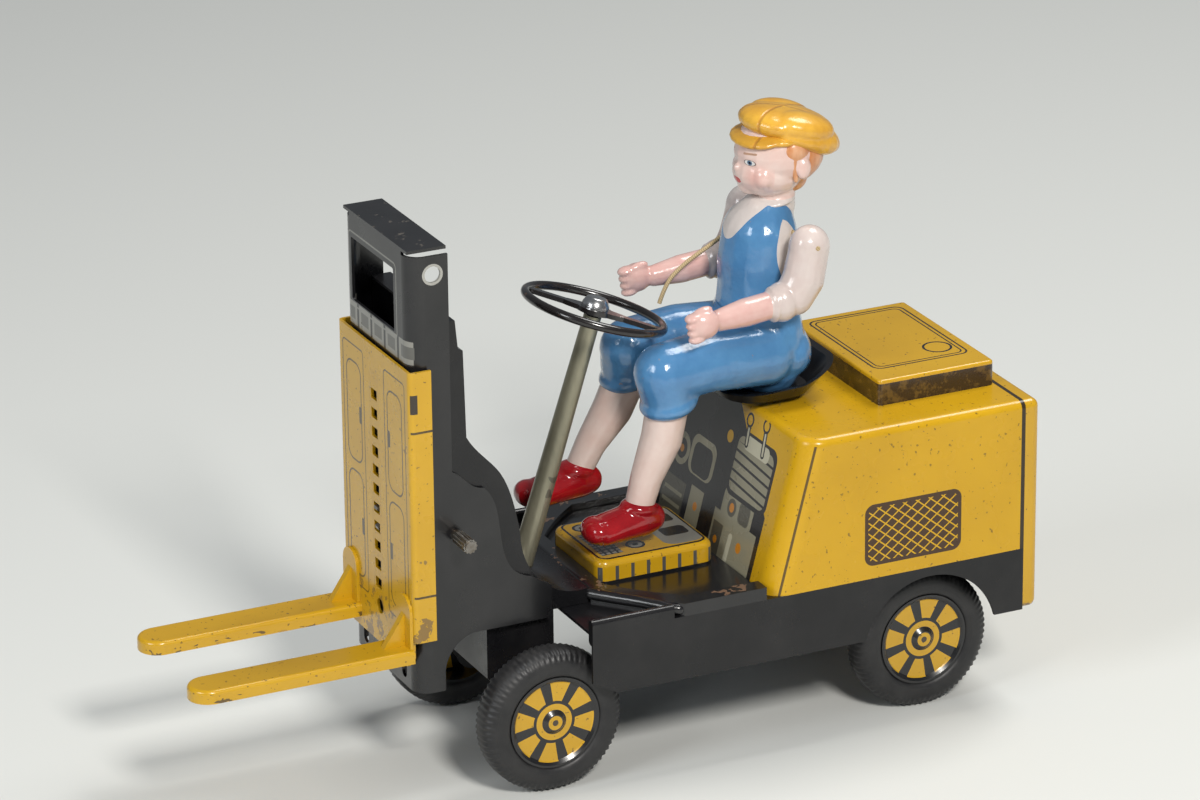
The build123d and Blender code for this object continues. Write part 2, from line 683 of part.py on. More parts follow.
flywheel_radius = 11.0
with BuildPart() as flywheel:
    with BuildSketch(gear_plane(-12.6, flywheel_y, flywheel_z)):
        Circle(axle_radius)
    extrude(amount=25.2)
    with BuildSketch(gear_plane(-5.0, flywheel_y, flywheel_z)):
        add(gear_outline(pinion_teeth, motor_module, to_flywheel + 180 + 180 / pinion_teeth))
    extrude(amount=4.0)
    with BuildSketch(gear_plane(2.0, flywheel_y, flywheel_z)):
        Circle(flywheel_radius)
    extrude(amount=7.5)
    # the disc is dished so that most of its weight is in the rim
    with BuildSketch(gear_plane(6.0, flywheel_y, flywheel_z)):
        Circle(flywheel_radius - 2.5)
        Circle(3.2, mode=Mode.SUBTRACT)
    extrude(amount=3.5, mode=Mode.SUBTRACT)
flywheel.part.label = "flywheel"
export_step(flywheel.part, "parts/flywheel.step")

# ---------------------------------------------------------------- axles, hubs and tyres
bead_radius = 12.2


def wheel_section(axle_y, outer_x, outline):
    """A closed section from (distance in from the wheel's face, radius) corners."""
    with BuildSketch(Plane.XZ.offset(-axle_y)) as section:
        with BuildLine():
            Polyline(*[(outer_x + inset, tyre_radius + radius) for inset, radius in outline], close=True)
        make_face()
    return section.sketch


hub_outline = (
    (-0.4, 0), (-0.4, 2.2), (-1.2, 3.2), (-1.2, 10.6), (-0.5, 11.6), (-0.5, bead_radius),
    (-8.9, bead_radius), (-8.9, 11.4), (-2.0, 11.4), (-2.0, 2.4), (-8.9, 2.4), (-8.9, 1.21),
    (-1.59, 1.21), (-1.59, 0),
)
tyre_outline = (
    (-0.9, bead_radius), (-0.15, 13.2), (0, 14.8), (-0.2, 16.6), (-0.9, 18.2), (-2.2, tyre_radius),
    (-7.4, tyre_radius), (-8.7, 18.2), (-9.4, 16.6), (-9.6, 14.8), (-9.45, 13.2), (-8.7, bead_radius),
)
for end, axle_y, outer_x in (("front", front_axle_y, front_tyre_outer_x), ("rear", rear_axle_y, rear_tyre_outer_x)):
    axle_half_length = outer_x - 1.6
    with BuildPart() as axle:
        with BuildSketch(gear_plane(-axle_half_length, axle_y, tyre_radius)):
            Circle(axle_radius)
        extrude(amount=2 * axle_half_length)
    axle.part.label = f"{end}_axle"
    export_step(axle.part, f"parts/{end}_axle.step")

    wheel_axis = Axis((0, axle_y, tyre_radius), (1, 0, 0))
    with BuildPart() as left_tyre:
        add(wheel_section(axle_y, outer_x, tyre_outline))
        revolve(axis=wheel_axis)
    left_tyre.part.label = f"{end}_left_tyre"
    export_step(left_tyre.part, f"parts/{end}_left_tyre.step")
    with BuildPart() as right_tyre:
        mirror(left_tyre.part, about=Plane.YZ)
    right_tyre.part.label = f"{end}_right_tyre"
    export_step(right_tyre.part, f"parts/{end}_right_tyre.step")

    # stamped wheel: a dished face with a raised cap, a bead seat and a collar on the axle
    with BuildPart() as left_hub:
        add(wheel_section(axle_y, outer_x, hub_outline))
        revolve(axis=wheel_axis)
    left_hub.part.label = f"{end}_left_hub"
    export_step(left_hub.part, f"parts/{end}_left_hub.step")
    with BuildPart() as right_hub:
        mirror(left_hub.part, about=Plane.YZ)
    right_hub.part.label = f"{end}_right_hub"
    export_step(right_hub.part, f"parts/{end}_right_hub.step")

# ---------------------------------------------------------------- steering
pivot_radius = 1.55
with BuildPart() as steering_column:
    with BuildSketch(square_to_column(-column_length)):
        Circle(column_foot_radius)
    with BuildSketch(square_to_column(-1.6)):
        Circle(column_top_radius)
    loft()
    with BuildSketch(square_to_column(-14)):
        Circle(pivot_radius + running_gap)
    extrude(amount=14, mode=Mode.SUBTRACT)
steering_column.part.label = "steering_column"
export_step(steering_column.part, "parts/steering_column.step")

rim_radius = 1.15
with BuildPart() as steering_wheel:
    with Locations(square_to_column(0)):
        Torus(wheel_radius - rim_radius, rim_radius)
    # one bar right across, thicker where it carries the hub
    with BuildSketch(square_to_column(-0.7)):
        with Locations(Location((0, 0), 53)):
            Rectangle(2 * (wheel_radius - rim_radius), 2.4)
            Ellipse(9, 2.6)
        Circle(4.6)
    extrude(amount=1.2)
    # the hub's stem turns in the column
    with BuildSketch(square_to_column(-13)):
        Circle(pivot_radius)
    extrude(amount=12.5)
steering_wheel.part.label = "steering_wheel"
export_step(steering_wheel.part, "parts/steering_wheel.step")

with BuildPart() as steering_cap:
    with Locations(square_to_column(0.52)):
        Sphere(3.6)
    split(bisect_by=square_to_column(0.52), keep=Keep.TOP)
    with BuildSketch(square_to_column(3.3)):
        Circle(5)
    extrude(amount=2, mode=Mode.SUBTRACT)
    top_edge = steering_cap.edges().filter_by(GeomType.CIRCLE).sort_by(Axis(wheel_centre, lean))[-1]
    fillet(top_edge, 0.8)
steering_cap.part.label = "steering_cap"
export_step(steering_cap.part, "parts/steering_cap.step")

# ---------------------------------------------------------------- doll driver
with BuildPart() as driver_body:
    # overalls from the seat to the chest, shoulders and neck
    trunk_rings = (
        (87.4, 53.5, 9.0, 8.5), (93, 52.5, 15.5, 12.5), (100, 51.5, 16.5, 13.5), (108, 51.5, 12.4, 12.8),
        (118, 51.5, 11.0, 12.2), (126, 52, 10.7, 11.0), (133, 53.5, 7.0, 8.0),
    )
    add(limb(*[((0, y, z), (0, 0, 1), half_x, half_y) for z, y, half_x, half_y in trunk_rings]))
    add(limb(((0, 55.5, 129), (0, 0.1, 1), 5.2, 5.2), ((0, 56, 137), (0, 0, 1), 5.0, 5.2)))
    # thighs and turned-up cuffs, bare calves, then shoes with flat soles
    for side, knee, cuff, ankle, heel, toe, sole_z in (
        (1, (10.4, 19.5, 97.4), (10.0, 21.5, 87), (10, 12.8, 65.5), (10, 13.5, 60.0), (10, 2.9, 58.4), 53.6),
        (-1, (-10.4, 20.0, 97.2), (-12.0, 20.5, 87), (-12, 7.0, 68.6), (-12, 6.4, 64.0), (-12, -5.4, 61.8), 57.2),
    ):
        knee, cuff, ankle = Vector(*knee), Vector(*cuff), Vector(*ankle)
        hip = Vector(side * 9.0, 50.0, 97.8)
        thigh = (knee - hip).normalized()
        shin = (ankle - cuff).normalized()
        add(limb((hip, thigh, 8.6, 8.6), (hip * 0.4 + knee * 0.6, thigh, 8.3, 8.4), (knee, thigh, 7.8, 7.8)))
        with Locations(knee):
            Sphere(7.8)
        add(limb((knee, shin, 7.7, 7.5), (knee * 0.4 + cuff * 0.6, shin, 7.8, 7.4), (cuff, shin, 7.2, 6.9)))
        add(limb((cuff, shin, 5.6, 5.8), (cuff * 0.55 + ankle * 0.45, shin, 5.2, 5.4), (ankle, shin, 3.7, 3.8)))
        heel, toe = Vector(*heel), Vector(*toe)
        step = (toe - heel).normalized()
        middle = heel * 0.45 + toe * 0.55
        with BuildPart(mode=Mode.PRIVATE) as shoe:
            add(limb((heel - step * 4.6, step, 2.4, 3.0), (heel, step, 4.4, 5.2), (middle, step, 4.8, 4.9), (toe, step, 5.2, 4.4), (toe + step * 4.4, step, 2.6, 2.0)))
            with BuildSketch(Plane.XY.offset(sole_z)):
                with Locations((heel.X, (heel.Y + toe.Y) / 2)):
                    Rectangle(30, 40)
            extrude(amount=-10, mode=Mode.SUBTRACT)
        add(shoe.part)
    # hole for the cord from shoulder to shoulder, and a flat where each arm turns
    add(cross_drill(shoulder_y, shoulder_z, 0.7), mode=Mode.SUBTRACT)
driver_body.part.label = "driver_body"
export_step(driver_body.part, "parts/driver_body.step")

with BuildPart() as driver_head:
    add(limb(
        ((0, 56, 137.1), (0, 0, 1), 5.0, 6.0),
        ((0, 56.3, 140.2), (0, 0, 1), 9.2, 10.5),
        ((0, 57.3, 146.0), (0, 0, 1), 10.8, 12.6),
        ((0, 58.0, 152.5), (0, 0, 1), 10.4, 12.4),
    ))
    # flat cap with a soft crown and a short peak
    add(limb(
        ((0, 61.2, 150.5), (0, 0, 1), 11.3, 12.8),
        ((0, 61.0, 154.0), (0, 0, 1), 13.0, 14.4),
        ((0, 60.0, 158.0), (0, 0, 1), 12.0, 13.2),
        ((0, 58.5, 161.0), (0, 0, 1), 7.5, 8.5),
    ))
    with BuildSketch(Plane(origin=(0, 52.5, 152.6), x_dir=(1, 0, 0), z_dir=(0, -0.12, 1))):
        Ellipse(9.6, 7.0)
    extrude(amount=1.6)
driver_head.part.label = "driver_head"
export_step(driver_head.part, "parts/driver_head.step")

arm_x = 17.6
shoulder = Vector(arm_x, shoulder_y, shoulder_z)
elbow = Vector(17.8, 54.5, 114.5)
wrist = Vector(18.2, 31.0, 112.5)
fist = Vector(19.5, 26.5, 112.5)
upper = (elbow - shoulder).normalized()
fore = (wrist - elbow).normalized()
with BuildPart() as driver_left_arm:
    with Locations(shoulder, elbow):
        Sphere(4.6)
    add(limb((shoulder, upper, 4.6, 4.6), (shoulder * 0.4 + elbow * 0.6, upper, 4.8, 5.2), (elbow, upper, 4.6, 4.6)))
    # puffed sleeve gathered into a cuff, then the bare forearm and the fist
    add(limb((elbow, fore, 4.5, 4.5), (elbow + fore * 4, fore, 4.7, 4.9), (elbow + fore * 7, fore, 4.1, 4.2)))
    add(limb((elbow, fore, 3.4, 3.6), ((elbow + wrist) / 2, fore, 3.5, 3.7), (wrist, fore, 2.6, 2.8)))
    add(limb((wrist - fore, fore, 2.6, 2.8), (fist, fore, 3.2, 3.9), (fist + fore * 4.2, fore, 2.0, 2.4)))
    with Locations(fist + fore * 2.4):
        Sphere(2.9)
    add(cross_drill(shoulder_y, shoulder_z, 0.7), mode=Mode.SUBTRACT)
driver_left_arm.part.label = "driver_left_arm"
export_step(driver_left_arm.part, "parts/driver_left_arm.step")

with BuildPart() as driver_right_arm:
    mirror(driver_left_arm.part, about=Plane.YZ)
driver_right_arm.part.label = "driver_right_arm"
export_step(driver_right_arm.part, "parts/driver_right_arm.step")

# the cord that strings the arms together through the shoulders
with BuildPart() as shoulder_cord:
    with BuildSketch(gear_plane(-(arm_x + 4.9), shoulder_y, shoulder_z)):
        Circle(0.6)
    extrude(amount=2 * (arm_x + 4.9))
shoulder_cord.part.label = "shoulder_cord"
export_step(shoulder_cord.part, "parts/shoulder_cord.step")

# ---------------------------------------------------------------- loose string
# It leaves the far armhole, droops forward inside the forearm and hangs over the lap.
string_radius = 0.55
string_route = [
    (-12.0, 55.5, 127.2),
    (-12.05, 50.5, 124.2),
    (-11.95, 45.5, 121.2),
    (-11.6, 40.5, 118.9),
    (-11.3, 35.5, 116.2),
    (-11.0, 31.2, 112.6),
    (-11.0, 29.4, 107.6),
]


def bend_radii(route):
    """The widest arc that each corner of a cord's route allows."""
    radii = []
    for before, corner, after in zip(route, route[1:], route[2:]):
        arriving = Vector(*corner) - Vector(*before)
        leaving = Vector(*after) - Vector(*corner)
        half_turn = radians(arriving.get_angle(leaving)) / 2
        radii.append(0.45 * min(arriving.length, leaving.length) / tan(half_turn))
    return radii


string_radii = bend_radii(string_route)
print("string radii", [round(radius, 2) for radius in string_radii])
with BuildPart() as arm_string:
    with BuildLine():
        string_path = FilletPolyline(*string_route, radius=string_radii)
    with BuildSketch(Plane(origin=string_path @ 0, z_dir=string_path % 0)):
        Circle(string_radius)
    sweep()
arm_string.part.label = "arm_string"
export_step(arm_string.part, "parts/arm_string.step")
string_length = string_path.length
print("string length", round(string_length, 1), "mm, tube volume over section times length",
      round(arm_string.part.volume / (pi * string_radius ** 2 * string_length), 4))
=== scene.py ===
import math
import bpy
import bmesh
from mathutils import Matrix, Vector


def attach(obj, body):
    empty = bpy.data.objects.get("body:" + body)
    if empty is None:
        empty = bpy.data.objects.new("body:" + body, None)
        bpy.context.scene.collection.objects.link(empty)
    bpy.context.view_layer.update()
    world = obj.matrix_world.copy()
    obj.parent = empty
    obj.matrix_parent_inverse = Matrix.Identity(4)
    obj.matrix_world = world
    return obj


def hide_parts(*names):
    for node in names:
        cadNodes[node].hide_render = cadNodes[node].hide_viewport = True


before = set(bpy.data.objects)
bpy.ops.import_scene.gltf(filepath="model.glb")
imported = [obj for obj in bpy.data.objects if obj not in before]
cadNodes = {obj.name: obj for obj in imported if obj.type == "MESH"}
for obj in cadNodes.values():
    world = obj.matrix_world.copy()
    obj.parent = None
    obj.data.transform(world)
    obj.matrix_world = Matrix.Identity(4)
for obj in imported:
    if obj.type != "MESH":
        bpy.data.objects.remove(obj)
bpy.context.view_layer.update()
mm = 0.001
print("stage: frame loaded")


# a number or a socket in a material, so that patterns can be written as sums
class Value:
    def __init__(self, paint, socket):
        self.paint, self.socket = paint, socket

    def math(self, operation, *others):
        return self.paint.add("ShaderNodeMath", {"operation": operation}, [self, *others])

    def __add__(self, other):
        return self.math("ADD", other)

    __radd__ = __add__

    def __mul__(self, other):
        return self.math("MULTIPLY", other)

    __rmul__ = __mul__

    def __sub__(self, other):
        return self.math("SUBTRACT", other)

    def __rsub__(self, other):
        return (self * -1) + other

    def __truediv__(self, other):
        return self.math("DIVIDE", other)

    def __rtruediv__(self, other):
        return self.math("POWER", -1) * other

    def __gt__(self, other):
        return self.math("GREATER_THAN", other)

    def __lt__(self, other):
        return self.math("LESS_THAN", other)

    def size(self):
        return self.math("ABSOLUTE")

    def larger(self, other):
        return self.math("MAXIMUM", other)

    def smaller(self, other):
        return self.math("MINIMUM", other)

    def ramp(self, start, end):
        return ((self - start) / (end - start)).larger(0).smaller(1)


# one material, with its object coordinates in millimetres
class Paint:
    def __init__(self, name):
        self.material = bpy.data.materials.new(name)
        self.material.use_nodes = True
        self.tree = self.material.node_tree
        self.shader = self.tree.nodes["Principled BSDF"]
        self.coordinates = self.tree.nodes.new("ShaderNodeTexCoord").outputs["Object"]
        parts = self.tree.nodes.new("ShaderNodeSeparateXYZ")
        self.tree.links.new(self.coordinates, parts.inputs[0])
        self.x, self.y, self.z = [Value(self, out) * 1000 for out in parts.outputs]

    def feed(self, target, value):
        if isinstance(value, Value):
            self.tree.links.new(value.socket, target)
        elif hasattr(value, "links"):
            self.tree.links.new(value, target)
        else:
            target.default_value = value

    def add(self, kind, settings, values, output=0):
        node = self.tree.nodes.new(kind)
        for name, setting in settings.items():
            setattr(node, name, setting)
        pairs = values.items() if isinstance(values, dict) else enumerate(values)
        for key, value in pairs:
            self.feed(node.inputs[key], value)
        return Value(self, node.outputs[output])

    def mix(self, factor, first, second):
        def colour(c):
            return (*c, 1) if isinstance(c, tuple) and len(c) == 3 else c
        return self.add(
            "ShaderNodeMix", {"data_type": "RGBA"},
            {0: factor, 6: colour(first), 7: colour(second)}, 2)

    def noise(self, scale, detail=3.0, roughness=0.55, stretch=None):
        spot = self.coordinates
        if stretch:
            spot = self.add("ShaderNodeMapping", {}, {0: spot, 3: stretch})
        return self.add(
            "ShaderNodeTexNoise", {},
            {"Vector": spot, "Scale": scale, "Detail": detail, "Roughness": roughness})

    def bump(self, height, strength, distance=0.0003):
        bump = self.add("ShaderNodeBump", {}, {"Height": height, "Strength": strength, "Distance": distance})
        self.tree.links.new(bump.socket, self.shader.inputs["Normal"])

    def finish(self, colour, roughness, **constants):
        self.feed(self.shader.inputs["Base Color"], (*colour, 1) if isinstance(colour, tuple) else colour)
        self.feed(self.shader.inputs["Roughness"], roughness)
        for name, value in constants.items():
            self.feed(self.shader.inputs[name.replace("_", " ")], value)
        return self.material

    # printed shapes on a flat sheet, all in millimetres
    def rect(self, u, v, u0, u1, v0, v1):
        return (u > u0) * (u < u1) * (v > v0) * (v < v1)

    def roundRect(self, u, v, u0, u1, v0, v1, radius):
        du = ((u - (u0 + u1) / 2).size() - ((u1 - u0) / 2 - radius)).larger(0)
        dv = ((v - (v0 + v1) / 2).size() - ((v1 - v0) / 2 - radius)).larger(0)
        return (du * du + dv * dv).math("SQRT") - radius

    def disc(self, u, v, u0, v0):
        du, dv = u - u0, v - v0
        return (du * du + dv * dv).math("SQRT")

    # squared distance from the middle of an oval, 1 on its outline
    def oval(self, u, v, centre, radii):
        du, dv = (u - centre[0]) / radii[0], (v - centre[1]) / radii[1]
        return du * du + dv * dv

    def line(self, u, v, start, end):
        su, sv = end[0] - start[0], end[1] - start[1]
        span = su * su + sv * sv
        along = (((u - start[0]) * su + (v - start[1]) * sv) / span).larger(0).smaller(1)
        du, dv = (u - start[0]) - along * su, (v - start[1]) - along * sv
        return (du * du + dv * dv).math("SQRT")


def dress(names, material):
    for name in names:
        node = cadNodes[name]
        node.data.materials.clear()
        node.data.materials.append(material)


inkBlack = (0.012, 0.011, 0.012)
golden = (0.57, 0.325, 0.008)
goldenDark = (0.44, 0.24, 0.006)
litho = {"gloss": 0.27, "coat": 0.35, "coatGloss": 0.12}


def goldenCoat(paint):
    # lacquered golden ink over tin: soft mottling, fine dark specks and pinpricks of rust
    cloud = paint.noise(38, 4).ramp(0.35, 0.7)
    colour = paint.mix(cloud * 0.45, golden, goldenDark)
    specks = paint.noise(900, 1.5, 0.6)
    colour = paint.mix((specks > 0.70) * 0.75, colour, (0.10, 0.055, 0.012))
    scars = paint.noise(260, 2.0, 0.7)
    return paint.mix((scars > 0.735) * 0.8, colour, (0.16, 0.10, 0.04))


def enamelWear(paint, colour, amount=0.74):
    # chips and rubs that let copper-brown primer and tin show
    rub = paint.noise(150, 5, 0.65)
    return paint.mix((rub > amount) * 0.55, colour, (0.16, 0.10, 0.06))


def blackCoat(paint):
    dust = paint.noise(60, 5, 0.6).ramp(0.4, 0.75)
    return paint.mix(dust * 0.6, (0.006, 0.006, 0.007), (0.020, 0.019, 0.020))


def blackEnamel():
    paint = Paint("blackEnamel")
    colour = enamelWear(paint, blackCoat(paint))
    smear = paint.noise(90, 4).ramp(0.3, 0.75)
    paint.bump(paint.noise(120, 2), 0.12)
    roughness = smear * 0.22 + 0.2
    return paint.finish(colour, roughness, Coat_Weight=0.18, Coat_Roughness=0.12, Specular_IOR_Level=0.35)


def deckEnamel():
    # the curled lip is rubbed to a coppery edge; the copper band along its top is also a painted highlight
    paint = Paint("deckEnamel")
    colour = enamelWear(paint, blackCoat(paint), 0.78)
    # copper along the top of the lip: rubbed wear and a painted highlight together
    edge = paint.z.ramp(45.9, 46.7) * (paint.noise(140, 4, 0.7) > 0.60)
    colour = paint.mix(edge * 0.55, colour, (0.30, 0.17, 0.10))
    return paint.finish(colour, 0.27, Coat_Weight=0.35, Coat_Roughness=0.12)


def forkGolden():
    paint = Paint("forkGolden")
    colour = goldenCoat(paint)
    chips = paint.noise(330, 3, 0.7, (1, 0.45, 1))
    edge = (paint.z < 38.6).larger((paint.y < -112.2))
    colour = paint.mix((chips > 0.62) * edge * 0.85, colour, (0.055, 0.035, 0.02))
    scratch = paint.noise(420, 2, 0.6, (2.4, 0.3, 1))
    colour = paint.mix((scratch > 0.70) * 0.5, colour, (0.30, 0.17, 0.05))
    return paint.finish(colour, 0.3, Coat_Weight=0.3, Coat_Roughness=0.14)


def bodyPrint():
    # yellow shell; printed grille on both sides, printed engine on the slanted front
    paint = Paint("bodyPrint")
    x, y, z = paint.x, paint.y, paint.z
    colour = goldenCoat(paint)
    side = x.size() > 37.9
    grille = paint.roundRect(y, z, 62.8, 90.6, 46.8, 63.6, 2.6)
    colour = paint.mix(side * (grille < 0), colour, (0.055, 0.028, 0.012))
    cross = 3.7
    slantA = ((y + z * 1.25) / cross).math("FRACT")
    slantB = ((y - z * 1.25) / cross).math("FRACT")
    lattice = (slantA < 0.15).larger(slantB < 0.15)
    inside = paint.roundRect(y, z, 63.8, 89.6, 47.8, 62.6, 1.9) < 0
    colour = paint.mix(side * lattice * inside, colour, golden)
    # thin outline behind the rounded front corner
    frontEdge = (z - 43.3) * 0.267 + 35.3
    back = y - frontEdge
    seam = ((back - 3.4).size() < 0.3) * (x.size() > 33) * (z < 82.0)
    colour = paint.mix(seam * 0.9, colour, (0.05, 0.03, 0.015))
    colour = paint.mix((y > 107.9) * 0.96, colour, inkBlack)
    # front panel between the rounded corners
    panel = (back < 1.2) * (x.size() < 27.5) * (z < 82.4)
    art = engineArt(paint, x, z, colour)
    colour = paint.mix(panel, colour, art)
    paint.bump(paint.noise(70, 2), 0.10)
    sheen = paint.noise(80, 3) * 0.14 + 0.2
    return paint.finish(
        colour, sheen, Coat_Weight=0.2, Coat_Roughness=litho["coatGloss"], Specular_IOR_Level=0.35)


def engineArt(paint, x, z, behind):
    black = (0.016, 0.015, 0.016)
    grey = (0.25, 0.235, 0.165)
    greyDark = (0.085, 0.08, 0.06)
    light = (0.46, 0.44, 0.33)
    orange = (0.52, 0.20, 0.02)
    art = paint.mix(((x + 3) * 0.9 + z < 88) * 1.0, behind, black)
    # base block and the column that stands on it
    base = paint.rect(x, z, 2.5, 25.5, 33, 55) * ((x - 26.0) * 1.2 + z < 58)
    art = paint.mix(paint.rect(x, z, 1.2, 27.2, 33, 61) * ((x - 27.4) * 1.2 + z < 58), art, black)
    art = paint.mix(base, art, grey)
    art = paint.mix(paint.line(x, z, (13.2, 50.5), (12.2, 30)) < 1.0, art, light)
    art = paint.mix(paint.rect(x, z, 3.4, 8.6, 43, 52), art, greyDark)
    art = paint.mix(paint.disc(x, z, 18.2, 49.4) < 1.35, art, orange)
    art = paint.mix(paint.disc(x, z, 5.9, 47.6) < 1.0, art, orange)
    # carburettor
    art = paint.mix(paint.roundRect(x, z, 5.4, 21.8, 53.6, 61.8, 2.2) < 0, art, grey)
    art = paint.mix(paint.roundRect(x, z, 14.4, 20.2, 55.0, 60.4, 1.4) < 0, art, greyDark)
    art = paint.mix(paint.disc(x, z, 10.6, 57.4) < 2.3, art, greyDark)
    art = paint.mix(paint.disc(x, z, 10.6, 57.4) < 1.2, art, orange)
    # ringed cylinder
    art = paint.mix(paint.roundRect(x, z, 5.0, 27.0, 60.0, 77.2, 3.2) < 0, art, black)
    barrel = paint.roundRect(x, z, 6.2, 25.6, 61.2, 75.4, 2.4) < 0
    art = paint.mix(barrel, art, grey)
    fins = ((z + x * 0.06) / 2.55).math("FRACT")
    art = paint.mix(barrel * (fins < 0.26) * (z < 73.6), art, black)
    art = paint.mix(paint.roundRect(x, z, 9.2, 22.6, 72.6, 76.4, 1.6) < 0, art, light)
    # two levers with round knobs
    for foot, knob in (((10.2, 74), (9.4, 80.0)), ((19.0, 74), (18.0, 81.2))):
        art = paint.mix(paint.line(x, z, foot, knob) < 0.95, art, black)
        art = paint.mix(paint.line(x, z, foot, knob) < 0.42, art, light)
        art = paint.mix(paint.disc(x, z, *knob) < 1.9, art, black)
        art = paint.mix(paint.disc(x, z, *knob) < 1.25, art, golden)
    # far side: arch window, strip with bolts and a tall tank
    art = paint.mix(paint.rect(x, z, -11.5, -4.4, 32, 56), art, grey)
    art = paint.mix(paint.disc(x, z, -8.0, 44.6) < 1.1, art, orange)
    art = paint.mix(paint.disc(x, z, -7.6, 51.4) < 1.1, art, orange)
    art = paint.mix(paint.roundRect(x, z, -16.2, -2.6, 58.4, 68.6, 3.0) < 0, art, grey)
    art = paint.mix(paint.roundRect(x, z, -14.6, -4.2, 58.8, 66.8, 2.4) < 0, art, black)
    art = paint.mix(paint.rect(x, z, -26, -14.2, 34, 55), art, greyDark)
    ribs = ((z + 0.2) / 3.2).math("FRACT") < 0.3
    art = paint.mix(paint.rect(x, z, -25, -15.2, 36, 53.4) * ribs, art, grey)
    art = paint.mix(paint.disc(x, z, -20.6, 62.6) < 4.2, art, grey)
    art = paint.mix(paint.disc(x, z, -20.6, 62.6) < 2.6, art, black)
    art = paint.mix(paint.disc(x, z, -20.6, 62.6) < 1.0, art, orange)
    art = paint.mix(paint.disc(x, z, 1.6, 73.2) < 2.4, art, black)
    return paint.mix(paint.disc(x, z, 1.6, 73.2) < 1.6, art, golden)


def hoodPrint():
    paint = Paint("hoodPrint")
    x, y, z = paint.x, paint.y, paint.z
    colour = goldenCoat(paint)
    frame1 = paint.roundRect(x, y, -21.6, 16.6, 77.4, 104.6, 2.4)
    frame2 = paint.roundRect(x, y, -20.4, 15.4, 78.6, 103.4, 1.8)
    lines = ((frame1).size() < 0.28).larger((frame2).size() < 0.22)
    colour = paint.mix(lines * 0.95, colour, inkBlack)
    ring = (paint.disc(x, y, 9.4, 99.0) - 3.6).size() < 0.32
    keep = paint.disc(x, y, 9.4, 99.0) < 3.4
    colour = paint.mix(keep, colour, golden)
    colour = paint.mix(ring, colour, inkBlack)
    walls = z < 89.6
    brown = paint.mix(paint.noise(320, 3, 0.7).ramp(0.5, 0.62), (0.030, 0.018, 0.012), (0.11, 0.065, 0.02))
    colour = paint.mix(walls, colour, brown)
    return paint.finish(colour, 0.27, Coat_Weight=litho["coat"], Coat_Roughness=litho["coatGloss"])


def capPrint():
    paint = Paint("capPrint")
    colour = goldenCoat(paint)
    rusty = (paint.z < 27.6) * (paint.noise(210, 3, 0.7) > 0.5)
    colour = paint.mix(rusty * 0.8, colour, (0.12, 0.07, 0.03))
    return paint.finish(colour, 0.27, Coat_Weight=litho["coat"], Coat_Roughness=litho["coatGloss"])


def carriagePrint():
    # golden sheet with thin printed door outlines on both sides of the rack
    paint = Paint("carriagePrint")
    x, y, z = paint.x, paint.y, paint.z
    colour = goldenCoat(paint)
    wide = x.size()
    face = y < -54.0
    outer = paint.roundRect(wide, z, 6.4, 19.0, 45.5, 110.5, 1.2).size() < 0.2
    doorA = paint.roundRect(wide, z, 8.2, 17.0, 79.5, 106.0, 3.0).size() < 0.24
    doorB = paint.roundRect(wide, z, 8.2, 17.0, 48.5, 76.5, 3.0).size() < 0.24
    latch = paint.roundRect(wide, z, 8.0, 9.6, 90.5, 95.0, 0.5) < 0
    latch2 = paint.roundRect(wide, z, 8.0, 9.6, 60.5, 65.0, 0.5) < 0
    ink = outer.larger(doorA).larger(doorB).larger(latch).larger(latch2)
    colour = paint.mix(ink * face * 0.9, colour, inkBlack)
    band = paint.rect(wide, z, -1, 3.0, 44, 108) * face
    colour = paint.mix(band * 0.35, colour, goldenDark)
    flank = (wide > 21.6)
    line = ((z - 54.6).size() < 0.3).larger((z - 98.5).size() < 0.3)
    colour = paint.mix(flank * line * 0.9, colour, inkBlack)
    mark = flank * paint.rect(y, z, -54.8, -52.6, 103.5, 108.5)
    colour = paint.mix(mark, colour, (0.03, 0.02, 0.012))
    low = (z < 49) * (paint.noise(240, 4, 0.7) > 0.56)
    colour = paint.mix(low * 0.75, colour, (0.12, 0.075, 0.04))
    paint.bump(paint.noise(70, 2), 0.10)
    sheen = paint.noise(80, 3) * 0.16 + 0.2
    return paint.finish(colour, sheen, Coat_Weight=litho["coat"], Coat_Roughness=litho["coatGloss"])


def mastPrint():
    paint = Paint("mastPrint")
    x, y, z = paint.x, paint.y, paint.z
    colour = enamelWear(paint, blackCoat(paint), 0.735)
    grey = (0.23, 0.225, 0.20)
    cell = ((x + 20.4) / 8.2).math("FRACT")
    blocks = (z > 115.2) * (z < 121.2) * (cell > 0.14) * (x < 19.2) * (y < -50.5)
    colour = paint.mix(blocks, colour, grey)
    inner = (cell > 0.3) * (cell < 0.85) * (z > 116.6) * (z < 119.8) * (y < -50.5)
    colour = paint.mix(inner, colour, (0.10, 0.098, 0.088))
    rim = paint.roundRect(x, z, -16.6, 12.6, 120.2, 139.6, 1.4).size() < 0.24
    colour = paint.mix(rim * (y < -52) * 0.8, colour, grey)
    # rubbed edge of the top tab and the pin holes' bright rims
    top = (z > 143.9) * (paint.noise(210, 5, 0.7) > 0.64)
    colour = paint.mix(top * 0.4, colour, (0.20, 0.17, 0.14))
    hole = paint.disc(y, z, -47.1, 138.4)
    colour = paint.mix((hole < 2.75) * 0.75, colour, (0.45, 0.44, 0.40))
    foot = (z < 36) * (paint.noise(180, 4, 0.7) > 0.6)
    colour = paint.mix(foot * 0.5, colour, (0.13, 0.085, 0.05))
    paint.bump(paint.noise(110, 2), 0.12)
    return paint.finish(colour, paint.noise(90, 4) * 0.2 + 0.2, Coat_Weight=0.3, Coat_Roughness=0.12)


